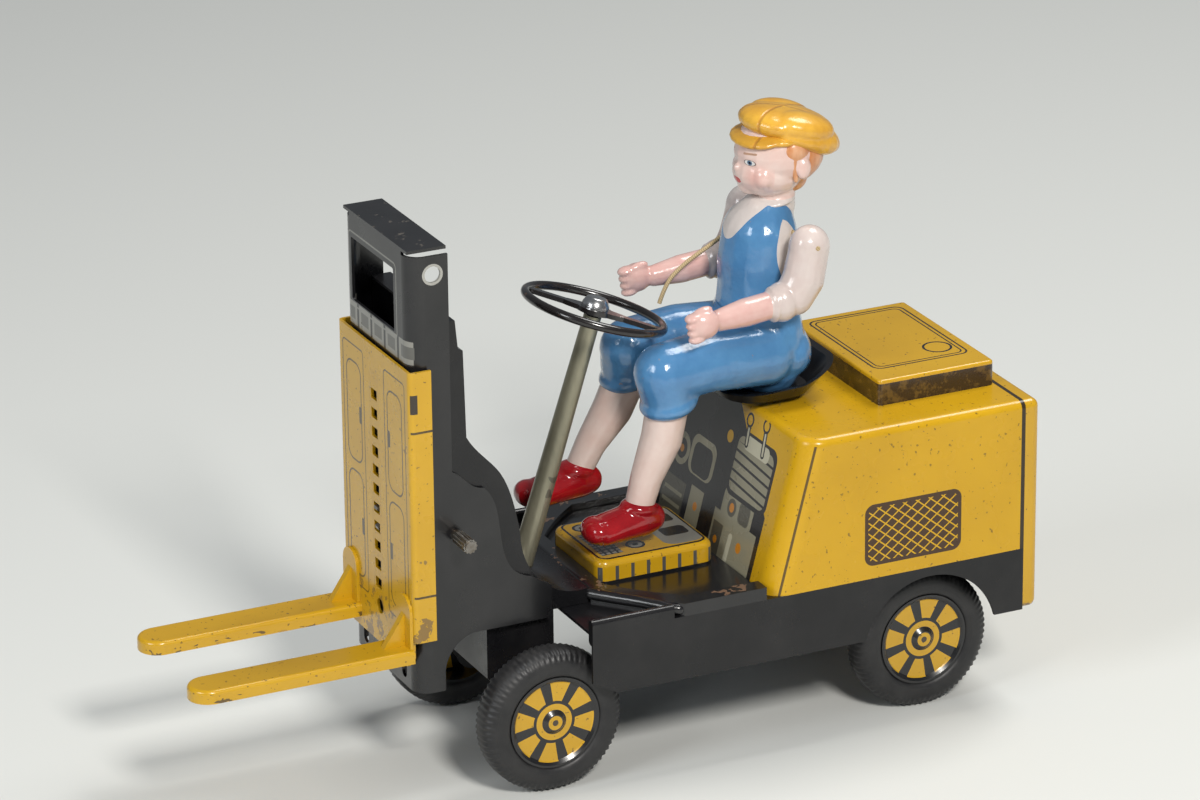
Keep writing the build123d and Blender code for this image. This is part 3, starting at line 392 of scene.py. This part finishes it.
def floorPrint():
    paint = Paint("floorPrint")
    x, y, z = paint.x, paint.y, paint.z
    black = (0.016, 0.015, 0.016)
    grey = (0.22, 0.215, 0.19)
    greyDark = (0.08, 0.078, 0.07)
    colour = blackCoat(paint)
    raised = z > 45.4
    colour = paint.mix(raised, colour, goldenCoat(paint))
    # lattice plate, rings and pedal plates printed on the raised block
    plate = raised * paint.rect(x, y, -4.6, 10.5, 2.4, 8.4)
    colour = paint.mix(plate, colour, grey)
    grid = ((x / 1.7).math("FRACT") < 0.35).larger((y / 1.7).math("FRACT") < 0.35)
    colour = paint.mix(plate * grid, colour, black)
    for cx, cy, radius in ((-8.6, 5.6, 2.5), (7.2, 13.2, 2.6), (-7.4, 14.4, 3.1)):
        away = paint.disc(x, y, cx, cy)
        colour = paint.mix(raised * (away < radius), colour, black)
        colour = paint.mix(raised * (away < radius * 0.72), colour, grey)
        colour = paint.mix(raised * (away < radius * 0.3), colour, black)
    pedal = raised * (paint.roundRect(x, y, -11.8, 11.8, 20.2, 31.2, 3.2) < 0)
    colour = paint.mix(pedal, colour, grey)
    for left in (-8.2, 0.8):
        slotMask = raised * (paint.roundRect(x, y, left, left + 5.4, 22.4, 29.4, 1.2) < 0)
        colour = paint.mix(slotMask, colour, black)
    edge = raised * (paint.roundRect(x, y, -12.6, 12.6, 1.1, 30.9, 2.4).size() < 0.3)
    colour = paint.mix(edge, colour, black)
    sideBars = raised * (z < 49.2) * ((y / 4.4).math("FRACT") < 0.22)
    colour = paint.mix(sideBars, colour, greyDark)
    return paint.finish(colour, 0.24, Coat_Weight=litho["coat"], Coat_Roughness=litho["coatGloss"])


def wheelPrint(name, axleY):
    # eight golden trapezoids between black spokes, ring, dark ring and golden cap
    paint = Paint(name)
    u, v = paint.y - axleY, paint.z - 19
    away = (u * u + v * v).math("SQRT")
    angle = u.math("ARCTAN2", v)
    turn = ((angle / (2 * math.pi)) * 8 + 8.28).math("FRACT")
    lobe = ((turn - 0.5).size() * away) < (away * 0.40 - 0.75)
    lobes = lobe * (away > 5.7) * (away < 10.9)
    colour = blackCoat(paint)
    gold = goldenCoat(paint)
    colour = paint.mix(lobes, colour, gold)
    colour = paint.mix((away < 4.9), colour, gold)
    colour = paint.mix((away < 3.3), colour, (0.02, 0.018, 0.016))
    colour = paint.mix((away < 1.9), colour, gold)
    colour = paint.mix((away < 0.8), colour, (0.05, 0.035, 0.02))
    inner = paint.x.size() < (33.0 if axleY < 0 else 29.0) - 1.6
    colour = paint.mix(inner, colour, blackCoat(paint))
    return paint.finish(colour, 0.27, Coat_Weight=litho["coat"], Coat_Roughness=litho["coatGloss"])


def metal(name, base, dark, roughness, grain=300):
    paint = Paint(name)
    colour = paint.mix(paint.noise(grain, 4, 0.65).ramp(0.35, 0.7), base, dark)
    paint.bump(paint.noise(grain * 1.5, 3), 0.12)
    return paint.finish(colour, paint.noise(grain / 2, 3) * 0.2 + roughness, Metallic=1.0)


def tyreRubber(name, axleY):
    paint = Paint(name)
    u, v = paint.y - axleY, paint.z - 19
    away = (u * u + v * v).math("SQRT")
    dust = paint.noise(140, 5, 0.65).ramp(0.4, 0.75)
    colour = paint.mix(dust * 0.7, (0.010, 0.010, 0.011), (0.035, 0.034, 0.034))
    # two fine raised rings on the wall
    rings = ((away - 14.0).size() < 0.22).larger((away - 16.3).size() < 0.22)
    paint.bump(rings * 0.5 + paint.noise(400, 3) * 0.4, 0.5, 0.0003)
    return paint.finish(colour, dust * 0.2 + 0.42)


print("stage: finishes")
dress(["chassis", "front_axle_bracket", "mast_back", "seat_pan"], blackEnamel())
dress(["floor_deck"], deckEnamel())
dress(["floor_panel"], floorPrint())
dress(["body_shell"], bodyPrint())
dress(["hood_cover"], hoodPrint())
dress(["rear_cap"], capPrint())
dress(["carriage"], carriagePrint())
dress(["left_fork", "right_fork"], forkGolden())
dress(["mast_channel"], mastPrint())
shaftSteel = metal("shaftSteel", (0.36, 0.35, 0.33), (0.12, 0.09, 0.06), 0.32)
dress(["lift_shaft", "front_axle", "rear_axle", "lift_sprocket"], shaftSteel)
plainTin = metal("plainTin", (0.5, 0.48, 0.42), (0.25, 0.23, 0.2), 0.34)
dress(["left_guide_strip", "right_guide_strip", "motor_frame"], plainTin)
dress(["drive_gear", "idler_gear"], metal("gearBrass", (0.62, 0.42, 0.14), (0.30, 0.19, 0.06), 0.3))
dress(["flywheel"], metal("flywheelIron", (0.28, 0.28, 0.29), (0.12, 0.12, 0.12), 0.42))
dress(["steering_cap"], metal("brightDome", (0.72, 0.72, 0.72), (0.45, 0.45, 0.46), 0.14, 220))
dress(["front_left_hub", "front_right_hub"], wheelPrint("frontWheelPrint", -22))
dress(["rear_left_hub", "rear_right_hub"], wheelPrint("rearWheelPrint", 85))


def columnTin():
    paint = Paint("columnTin")
    streak = paint.noise(120, 4, 0.6, (1, 1, 0.35)).ramp(0.35, 0.7)
    colour = paint.mix(streak, (0.35, 0.33, 0.24), (0.19, 0.18, 0.13))
    colour = paint.mix((paint.noise(50, 3, 0.6) > 0.62) * 0.6, colour, (0.05, 0.05, 0.045))
    return paint.finish(colour, 0.34, Metallic=0.55)


def wheelBlack():
    paint = Paint("wheelBlack")
    colour = paint.mix((paint.noise(300, 4, 0.7) > 0.66) * 0.6, (0.012, 0.010, 0.010), (0.10, 0.05, 0.03))
    return paint.finish(colour, 0.2, Coat_Weight=0.4, Coat_Roughness=0.08)


dress(["steering_column"], columnTin())
dress(["steering_wheel"], wheelBlack())


# pieces
def clear():
    if bpy.context.object and bpy.context.object.mode != "OBJECT":
        bpy.ops.object.mode_set(mode="OBJECT")
    bpy.ops.object.select_all(action="DESELECT")


def select(*objects):
    clear()
    for item in objects:
        item.select_set(True)
    bpy.context.view_layer.objects.active = objects[0]


def settle(obj):
    select(obj)
    bpy.ops.object.transform_apply(location=True, rotation=True, scale=True)
    return obj


def ball(centre, radii, tilt=(0, 0, 0), detail=(20, 12)):
    clear()
    bpy.ops.mesh.primitive_uv_sphere_add(
        segments=detail[0], ring_count=detail[1], radius=1, location=[c * mm for c in centre])
    obj = bpy.context.object
    obj.scale = [r * mm for r in radii]
    obj.rotation_euler = [math.radians(a) for a in tilt]
    return settle(obj)


def ballsAt(rows):
    return [ball(*row) for row in rows]


def limbBalls(stations, steps=12):
    # overlapping balls along a limb; each station is (centre, radius across X, radius square to it)
    made = []
    for (a, ax, az), (b, bx, bz) in zip(stations, stations[1:]):
        for step in range(steps + 1):
            t = step / steps
            centre = [p + (q - p) * t for p, q in zip(a, b)]
            wide, deep = ax + (bx - ax) * t, az + (bz - az) * t
            made.append(ball(centre, (wide, deep, deep), detail=(16, 10)))
    return made


def skinOver(name, balls, voxel, smooth, material):
    select(*balls)
    bpy.ops.object.join()
    obj = bpy.context.object
    obj.name = name
    remesh = obj.modifiers.new("skin", "REMESH")
    remesh.mode, remesh.voxel_size = "VOXEL", voxel * mm
    softer = obj.modifiers.new("softer", "SMOOTH")
    softer.iterations, softer.factor = smooth, 0.5
    for modifier in list(obj.modifiers):
        bpy.ops.object.modifier_apply(modifier=modifier.name)
    bpy.ops.object.shade_smooth()
    obj.data.materials.clear()
    obj.data.materials.append(material)
    return obj


# tyres: a profile spun round the axle, its shoulders notched into fine cross ribs
tyre = {"ribs": 72, "profile": [
    (-0.9, 12.2), (-0.25, 12.9), (-0.02, 13.9), (0.0, 15.2), (-0.12, 16.4), (-0.55, 17.5), (-1.3, 18.4),
    (-2.3, 18.9), (-3.4, 19.0), (-4.8, 19.0), (-6.2, 19.0), (-7.3, 18.9), (-8.3, 18.4), (-9.05, 17.5),
    (-9.48, 16.4), (-9.6, 15.2), (-9.58, 13.9), (-9.35, 12.9), (-8.7, 12.2)]}


def makeTyre(name, axleY, outerX, side, material):
    profile = tyre["profile"]
    clear()
    bpy.ops.mesh.primitive_circle_add(vertices=len(profile), radius=0.01)
    obj = bpy.context.object
    obj.name = name + "Rubber"
    bpy.ops.object.mode_set(mode="EDIT")
    mesh = bmesh.from_edit_mesh(obj.data)
    mesh.verts.ensure_lookup_table()
    for point, (inset, radius) in zip(mesh.verts, profile):
        point.co = Vector((side * (outerX + inset), axleY, 19 + radius)) * mm
    bmesh.update_edit_mesh(obj.data)
    bpy.ops.mesh.select_all(action="SELECT")
    steps = tyre["ribs"] * 4
    bpy.ops.mesh.spin(
        steps=steps, angle=2 * math.pi, center=(0, axleY * mm, 19 * mm), axis=(1, 0, 0), use_auto_merge=True)
    bpy.ops.mesh.select_all(action="SELECT")
    bpy.ops.mesh.remove_doubles(threshold=0.00001)
    bpy.ops.mesh.normals_make_consistent(inside=False)
    mesh = bmesh.from_edit_mesh(obj.data)
    centre = Vector((0, axleY * mm, 19 * mm))
    for point in mesh.verts:
        arm = point.co - centre
        away = math.hypot(arm.y, arm.z) / mm
        inset = abs(abs(point.co.x) / mm - (outerX - 4.8))
        turn = math.atan2(arm.y, arm.z) / (2 * math.pi) * tyre["ribs"]
        notch = 0.5 - 0.5 * math.cos(2 * math.pi * turn)
        if away > 16.8:
            depth = 0.5 * notch if inset > 2.0 else 0.14 * notch
            shorter = (away - depth) / away
            point.co.y, point.co.z = centre.y + arm.y * shorter, centre.z + arm.z * shorter
    bmesh.update_edit_mesh(obj.data)
    bpy.ops.object.mode_set(mode="OBJECT")
    bpy.ops.object.shade_smooth()
    obj.data.materials.append(material)
    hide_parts(name)
    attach(obj, "front_wheels" if axleY < 0 else "rear_wheels")
    return obj


frontRubber, rearRubber = tyreRubber("frontRubber", -22), tyreRubber("rearRubber", 85)
for end, axleY, outerX, rubber in (("front", -22, 34, frontRubber), ("rear", 85, 30, rearRubber)):
    for sideName, side in (("left", 1), ("right", -1)):
        makeTyre(f"{end}_{sideName}_tyre", axleY, outerX, side, rubber)
# curled front lip of the deck, a bead from the mast out to each side
deckLip = {
    "route": [(19.6, -5.3, 45.6), (24.6, -1.4, 45.7), (30.0, 3.6, 45.6), (36.0, 9.3, 45.1), (36.9, 11.0, 44.9)],
    "radius": 1.55, "voxel": 0.4, "smooth": 4}
lipEnamel = cadNodes["floor_deck"].data.materials[0]
for sideName, side in (("left", 1), ("right", -1)):
    stations = [((side * x, y, z), deckLip["radius"], deckLip["radius"]) for x, y, z in deckLip["route"]]
    bead = skinOver(
        sideName + "DeckLip", limbBalls(stations, 8), deckLip["voxel"], deckLip["smooth"], lipEnamel)
    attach(bead, "truck")
print("stage: tyres")


# the doll
def celluloid(name, colour, shade, gloss=0.22):
    paint = Paint(name)
    tone = paint.mix(paint.noise(110, 4, 0.6).ramp(0.35, 0.7), colour, shade)
    paint.bump(paint.noise(160, 3), 0.18)
    return paint.finish(tone, gloss, Coat_Weight=0.35, Coat_Roughness=0.1)


shirtWhite = (0.62, 0.56, 0.53)


def overallsPaint():
    paint = Paint("overallsPaint")
    x, y, z = paint.x, paint.y, paint.z
    blue = paint.mix(paint.noise(120, 4, 0.6).ramp(0.3, 0.7), (0.060, 0.185, 0.38), (0.085, 0.24, 0.45))
    # scoop at the neck, wider in front, and the two armholes
    scoop = paint.oval(x, z, (0, 134.6), (5.2, 8.0)) < 1
    armhole = (x.size() > 8.0) * (paint.oval(y, z, (58.6, 124.0), (6.8, 9.6)) < 1)
    above = z > 135.4
    shirt = scoop.larger(armhole).larger(above)
    colour = paint.mix(shirt, blue, shirtWhite)
    wear = paint.noise(330, 3, 0.7) > 0.71
    colour = paint.mix(wear * 0.7, colour, (0.28, 0.20, 0.15))
    folds = paint.noise(75, 3, 0.5)
    crease = (1 - (z - 107.4 - y * 0.02).size().ramp(0.1, 0.7)) * 0.6
    paint.bump(folds + paint.noise(230, 3, 0.6) * 0.5 - crease, 0.45, 0.0012)
    return paint.finish(colour, 0.19, Coat_Weight=0.5, Coat_Roughness=0.06)


overalls = {
    "trunk": [
        ((0, 53.5, 89.5), 10.5, 8.0), ((0, 52.5, 94), 14.4, 10.6), ((0, 51.5, 100), 15.6, 11.6),
        ((0, 51.6, 106.5), 12.2, 10.6), ((0, 51.8, 113), 11.0, 10.2), ((0, 52, 120), 11.3, 10.4),
        ((0, 52.4, 126), 11.0, 9.6), ((0, 54, 130.5), 8.2, 7.0)],
    "legs": [
        [((-9.0, 49, 97.4), 8.4, 8.4), ((-9.8, 34, 98.4), 8.2, 8.3), ((-10.4, 20.5, 97.4), 7.7, 7.8)],
        [((9.0, 49, 97.4), 8.4, 8.4), ((9.8, 34, 98.6), 8.2, 8.3), ((10.4, 20, 97.6), 7.7, 7.8)]],
    "knees": [
        [((-10.4, 20.5, 97.0), 7.6, 7.6), ((-11.4, 20.6, 92.5), 7.4, 7.2)],
        [((10.4, 20, 97.0), 7.6, 7.6), ((10.1, 21.2, 92.0), 7.4, 7.2)]],
    "rolledCuffs": [
        ((-11.8, 20.4, 89.4), (7.9, 7.5, 3.6), (14, 0, 0)), ((10.0, 21.6, 89.2), (8.0, 7.7, 3.6), (12, 0, 0))],
    "hipsAndNeck": [((0, 56, 96), (15.5, 8.4, 8.5)), ((0, 57.2, 133.6), (4.9, 5.0, 5.5))],
    "voxel": 0.5, "smooth": 14}
made = limbBalls(overalls["trunk"], 7)
for leg in overalls["legs"]:
    made += limbBalls(leg)
for knee in overalls["knees"]:
    made += limbBalls(knee, 3)
made += ballsAt(overalls["rolledCuffs"]) + ballsAt(overalls["hipsAndNeck"])
overallsPiece = skinOver("overallsPiece", made, overalls["voxel"], overalls["smooth"], overallsPaint())
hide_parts("driver_body")
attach(overallsPiece, "truck")

calves = {
    "left": [
        ((9.9, 21.6, 90), 5.6, 5.6), ((10, 19.6, 80), 5.3, 5.5),
        ((10, 15.2, 70), 4.1, 4.3), ((10, 12.9, 62), 3.6, 3.8)],
    "right": [
        ((-11.9, 20.6, 90), 5.6, 5.6), ((-12, 16.4, 81), 5.2, 5.4),
        ((-12, 10.2, 72.6), 4.0, 4.2), ((-12, 6.6, 66), 3.6, 3.8)],
    "voxel": 0.45, "smooth": 10}
calfSkin = celluloid("calfSkin", (0.66, 0.54, 0.49), (0.60, 0.44, 0.39))
made = limbBalls(calves["left"]) + limbBalls(calves["right"])
calvesPiece = skinOver("calvesPiece", made, calves["voxel"], calves["smooth"], calfSkin)
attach(calvesPiece, "truck")

# each foot: x, heel y, toe y, heel z, toe z
shoes = {"feet": [(10, 13.6, 2.6, 59.2, 57.8), (-12, 6.4, -5.8, 63.0, 61.4)], "voxel": 0.42, "smooth": 5}
shoeRed = celluloid("shoeRed", (0.36, 0.008, 0.012), (0.24, 0.004, 0.008), 0.12)
made = []
for sx, heelY, toeY, heelZ, toeZ in shoes["feet"]:
    made += limbBalls([
        ((sx, heelY + 2.6, heelZ - 0.2), 3.9, 3.9), ((sx, heelY, heelZ), 4.4, 4.8),
        ((sx, (heelY + toeY) / 2, heelZ - 0.6), 4.8, 4.4), ((sx, toeY, toeZ), 5.4, 3.8)], 8)
    made += [ball((sx, heelY - 0.6, heelZ + 3.2), (4.6, 5.0, 2.4), (-8, 0, 0))]
    made += [ball((sx, toeY - 1.6, toeZ + 0.4), (5.3, 3.9, 3.5))]
shoesPiece = skinOver("shoesPiece", made, shoes["voxel"], shoes["smooth"], shoeRed)
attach(shoesPiece, "truck")


def armPaint():
    paint = Paint("armPaint")
    x, y, z = paint.x, paint.y, paint.z
    sleeve = y > 45.4
    skin = paint.mix(paint.noise(110, 4, 0.6).ramp(0.35, 0.7), (0.66, 0.44, 0.40), (0.60, 0.33, 0.30))
    white = paint.mix(paint.noise(90, 3).ramp(0.35, 0.7), (0.62, 0.55, 0.52), (0.55, 0.44, 0.41))
    colour = paint.mix(sleeve, skin, white)
    cuff = ((y - 45.4) / 0.9).math("FRACT")
    ribbed = (y > 45.4) * (y < 48.4)
    folds = paint.noise(110, 3, 0.5)
    paint.bump(folds + ribbed * (cuff > 0.5) * 0.3, 0.35, 0.0008)
    return paint.finish(colour, 0.2, Coat_Weight=0.35, Coat_Roughness=0.09)


armLook = armPaint()
arms = {"shoulderX": 17.6, "handX": 19.4, "fingers": 4, "fingerDrop": 1.9, "voxel": 0.38, "smooth": 4}


def makeArm(name, body, side):
    reach = side * arms["shoulderX"]
    made = [ball((reach, 57.5, 127.6), (4.9, 5.4, 5.6))]
    made += limbBalls([
        ((reach, 57.3, 126), 4.9, 5.4), ((reach + side * 0.2, 55.8, 119.5), 5.1, 5.6),
        ((reach + side * 0.2, 53.2, 115.2), 4.7, 5.2)], 8)
    # elbow and rolled sleeve
    made += [ball((reach + side * 0.3, 49.6, 114.2), (4.8, 4.4, 5.2))]
    made += [ball((reach + side * 0.3, 46.9, 113.9), (4.4, 1.5, 4.7))]
    made += limbBalls([
        ((reach + side * 0.3, 47, 113.9), 3.5, 3.6), ((reach + side * 0.5, 39, 113.1), 3.5, 3.7),
        ((reach + side * 0.8, 31.5, 112.4), 2.6, 2.8)])
    # closed hand, its thumb on the inner side
    hand = side * arms["handX"]
    made += [ball((hand, 27.2, 112.4), (3.0, 4.2, 3.9))]
    made += [ball((hand - side * 1.0, 27.0, 115.4), (1.2, 3.0, 1.3), (14, 0, 0))]
    for finger in range(arms["fingers"]):
        place = (hand, 24.0 + 0.35 * finger, 114.6 - arms["fingerDrop"] * finger)
        made.append(ball(place, (2.0, 2.4, 1.15), (10, 0, 0)))
    arm = skinOver(name + "Skin", made, arms["voxel"], arms["smooth"], armLook)
    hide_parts(name)
    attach(arm, body)
    return arm


makeArm("driver_left_arm", "left_arm", 1)
makeArm("driver_right_arm", "right_arm", -1)


def facePaint():
    # pale celluloid with painted eyes, brows, lips and cheeks
    paint = Paint("facePaint")
    x, y, z = paint.x, paint.y, paint.z
    skin = paint.mix(paint.noise(120, 4, 0.6).ramp(0.35, 0.7), (0.70, 0.55, 0.50), (0.66, 0.46, 0.41))
    front = y < 52.5
    cheek = paint.disc(x.size(), z, 6.2, 143.8)
    skin = paint.mix((1 - cheek.ramp(0.5, 3.6)) * front * 0.45, skin, (0.70, 0.30, 0.25))
    eye = paint.oval(x.size(), z, (4.2, 147.2), (1.5, 0.72))
    skin = paint.mix(front * (eye < 1.25), skin, (0.12, 0.08, 0.07))
    skin = paint.mix(front * (eye < 0.9), skin, (0.72, 0.70, 0.68))
    iris = paint.disc(x.size(), z, 4.2, 147.2)
    skin = paint.mix(front * (iris < 0.66), skin, (0.10, 0.16, 0.24))
    skin = paint.mix(front * (iris < 0.32), skin, (0.01, 0.01, 0.012))
    brow = paint.line(x.size(), z, (2.6, 149.4), (5.8, 149.7)) < 0.28
    skin = paint.mix(front * brow * 0.7, skin, (0.30, 0.14, 0.05))
    mouth = paint.oval(x, z, (0, 141.9), (1.9, 0.85)) < 1
    skin = paint.mix(front * mouth, skin, (0.50, 0.03, 0.03))
    # white shirt collar painted low on the neck
    skin = paint.mix(z < 136.4, skin, shirtWhite)
    paint.bump(paint.noise(170, 3), 0.12)
    return paint.finish(skin, 0.22, Coat_Weight=0.3, Coat_Roughness=0.1)


head = {
    "skull": [((0, 57.6, 148.4), (10.3, 11.4, 10.0)), ((0, 55.0, 143.4), (8.8, 9.4, 7.0))],
    "chinNoseLips": [
        ((0, 49.4, 140.0), (3.2, 2.8, 2.6)), ((0, 46.8, 145.0), (1.2, 1.7, 1.3)),
        ((0, 47.3, 142.0), (2.2, 1.3, 1.2))],
    "neck": [((0, 56.6, 133.2), 5.4, 5.4), ((0, 56.8, 140), 5.2, 5.4)],
    "collar": [((0, 55.6, 135.4), (6.6, 6.4, 1.5), (8, 0, 0))],
    "voxel": 0.36, "smooth": 7}
made = ballsAt(head["skull"]) + ballsAt(head["chinNoseLips"])
made += [ball((s * 5.2, 50.8, 143.4), (3.4, 3.0, 3.4)) for s in (-1, 1)]  # cheeks
made += [ball((s * 10.0, 60.0, 145.4), (1.1, 1.9, 2.8), (-12, 0, 0)) for s in (-1, 1)]  # ears
made += limbBalls(head["neck"], 4) + ballsAt(head["collar"])
headPiece = skinOver("headPiece", made, head["voxel"], head["smooth"], facePaint())
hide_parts("driver_head")
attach(headPiece, "truck")


def hairPaint():
    paint = Paint("hairPaint")
    streaks = paint.noise(260, 3, 0.6, (0.5, 1, 0.35)).ramp(0.35, 0.65)
    colour = paint.mix(streaks, (0.50, 0.17, 0.04), (0.66, 0.36, 0.20))
    paint.bump(streaks, 0.4, 0.0004)
    return paint.finish(colour, 0.3, Coat_Weight=0.2, Coat_Roughness=0.15)


hair = {
    "backAndNape": [((0, 59.8, 147.4), (9.9, 9.9, 8.4)), ((0, 60.8, 140.8), (5.8, 4.4, 4.2))],
    "lock": [((9.6, 57.4, 147.6), 0.7, 1.0), ((9.0, 58.2, 142.4), 0.6, 0.8)],
    "voxel": 0.38, "smooth": 6}
made = ballsAt(hair["backAndNape"])
made += [ball((s * 9.2, 58.2, 150.2), (1.5, 3.4, 2.8)) for s in (-1, 1)]
made += limbBalls(hair["lock"], 6)
hairPiece = skinOver("hairPiece", made, hair["voxel"], hair["smooth"], hairPaint())
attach(hairPiece, "truck")


def capPaint():
    paint = Paint("capPaint")
    x, y, z = paint.x, paint.y, paint.z
    tone = paint.noise(140, 4, 0.65).ramp(0.3, 0.7)
    colour = paint.mix(tone, (0.74, 0.42, 0.05), (0.58, 0.29, 0.03))
    seam = (x * 0.86 + (y - 59) * 0.5).size()
    seam2 = (x * 0.86 - (y - 59) * 0.5).size()
    groove = (1 - seam.ramp(0.15, 0.6)).larger(1 - seam2.ramp(0.15, 0.6))
    colour = paint.mix(groove * 0.5, colour, (0.40, 0.14, 0.03))
    paint.bump(tone * 0.4 - groove, 0.5, 0.0004)
    return paint.finish(colour, 0.28, Coat_Weight=0.3, Coat_Roughness=0.12)


cap = {
    "crown": [
        ((0, 61.4, 152.0), (11.7, 12.4, 3.6), (-20, 0, 0)), ((0, 60.8, 155.0), (11.3, 11.8, 4.0), (-15, 0, 0)),
        ((0, 64.4, 151.6), (11.2, 10.0, 4.8), (-24, 0, 0)), ((0, 56.4, 155.8), (10.4, 8.8, 4.1), (-10, 0, 0))],
    "button": [((0, 58.8, 159.0), (1.3, 1.3, 0.7))],
    "voxel": 0.42, "smooth": 3}
made = ballsAt(cap["crown"])
made += [ball((s * 5.8, 61.4, 155.2), (6.2, 9.0, 3.8), (-15, 0, 0)) for s in (-1, 1)]
made += ballsAt(cap["button"])
capLook = capPaint()
capPiece = skinOver("capPiece", made, cap["voxel"], cap["smooth"], capLook)
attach(capPiece, "truck")

brim = {
    "peak": [((0, 52.0, 152.6), (9.6, 6.6, 2.0), (8, 0, 0)), ((0, 55.6, 152.8), (10.8, 7.4, 2.3))],
    "voxel": 0.32, "smooth": 3}
brimPiece = skinOver("brimPiece", ballsAt(brim["peak"]), brim["voxel"], brim["smooth"], capLook)
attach(brimPiece, "truck")
print("stage: doll")


def stringPaint():
    paint = Paint("stringPaint")
    twist = ((paint.x + paint.y + paint.z) * 1.35).math("FRACT")
    colour = paint.mix((twist > 0.5) * 0.7, (0.52, 0.40, 0.22), (0.30, 0.21, 0.11))
    return paint.finish(colour, 0.8)


twine = stringPaint()
dress(["shoulder_cord"], twine)
# the loose string at the far arm, through the same points as the solid one
twineShape = {
    "route": [
        (-12.0, 55.5, 127.2), (-12.05, 50.5, 124.2), (-11.95, 45.5, 121.2), (-11.6, 40.5, 118.9),
        (-11.3, 35.5, 116.2), (-11.0, 31.2, 112.6), (-11.0, 29.4, 107.6)],
    "radius": 0.55}
route = twineShape["route"]
curve = bpy.data.curves.new("looseString", "CURVE")
curve.dimensions, curve.bevel_depth, curve.bevel_resolution = "3D", twineShape["radius"] * mm, 4
strand = curve.splines.new("NURBS")
strand.points.add(len(route) - 1)
for point, place in zip(strand.points, route):
    point.co = (*[p * mm for p in place], 1)
strand.order_u = 3
strand.use_endpoint_u = True
strand.resolution_u = 12
looseString = bpy.data.objects.new("looseString", curve)
bpy.context.collection.objects.link(looseString)
curve.materials.append(twine)
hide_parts("arm_string")
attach(looseString, "truck")

# room, light and camera
clear()
bpy.ops.mesh.primitive_grid_add(x_subdivisions=8, y_subdivisions=8, size=8, location=(0, 0, 0))
floor = bpy.context.object
floor.name = "paleFloor"
floorPaint = Paint("paleFloor")
floor.data.materials.append(floorPaint.finish((0.66, 0.67, 0.65), 0.85))

world = bpy.data.worlds.new("studio")
bpy.context.scene.world = world
world.use_nodes = True
world.node_tree.nodes["Background"].inputs[0].default_value = (0.80, 0.86, 0.92, 1)
world.node_tree.nodes["Background"].inputs[1].default_value = 0.20

lamps = {
    "key": {"place": (1.00, -0.10, 0.86), "width": 0.22, "power": 13.0, "tint": (1.0, 0.97, 0.92)},
    "front": {"place": (0.35, -1.15, 0.75), "width": 0.5, "power": 7.0, "tint": (0.95, 0.98, 1.0)},
    "top": {"place": (-0.10, 0.55, 1.15), "width": 0.5, "power": 8.0, "tint": (1.0, 0.99, 0.96)},
}
for name, lamp in lamps.items():
    light = bpy.data.lights.new(name, "AREA")
    light.size, light.energy, light.color = lamp["width"], lamp["power"], lamp["tint"]
    holder = bpy.data.objects.new(name, light)
    bpy.context.collection.objects.link(holder)
    holder.location = lamp["place"]
    holder.rotation_euler = (Vector((0, 0, 0.06)) - Vector(lamp["place"])).to_track_quat("-Z", "Y").to_euler()

camera = {"place": (1.2284, -0.5736, 0.6200), "look": (-0.8420, 0.3981, -0.3640), "roll": 0.65, "lens": 173.1}
look = Vector(camera["look"]).normalized()
right = look.cross(Vector((0, 0, 1))).normalized()
up = right.cross(look)
turn = math.radians(camera["roll"])
right, up = right * math.cos(turn) - up * math.sin(turn), up * math.cos(turn) + right * math.sin(turn)
lens = bpy.data.cameras.new("viewCamera")
lens.lens, lens.sensor_width, lens.clip_start, lens.clip_end = camera["lens"], 36, 0.05, 20
shot = bpy.data.objects.new("viewCamera", lens)
bpy.context.collection.objects.link(shot)
shot.matrix_world = Matrix.Translation(camera["place"]) @ Matrix((right, up, -look)).transposed().to_4x4()
bpy.context.scene.camera = shot
bpy.context.scene.view_settings.view_transform = "Standard"
print("stage: room and camera")
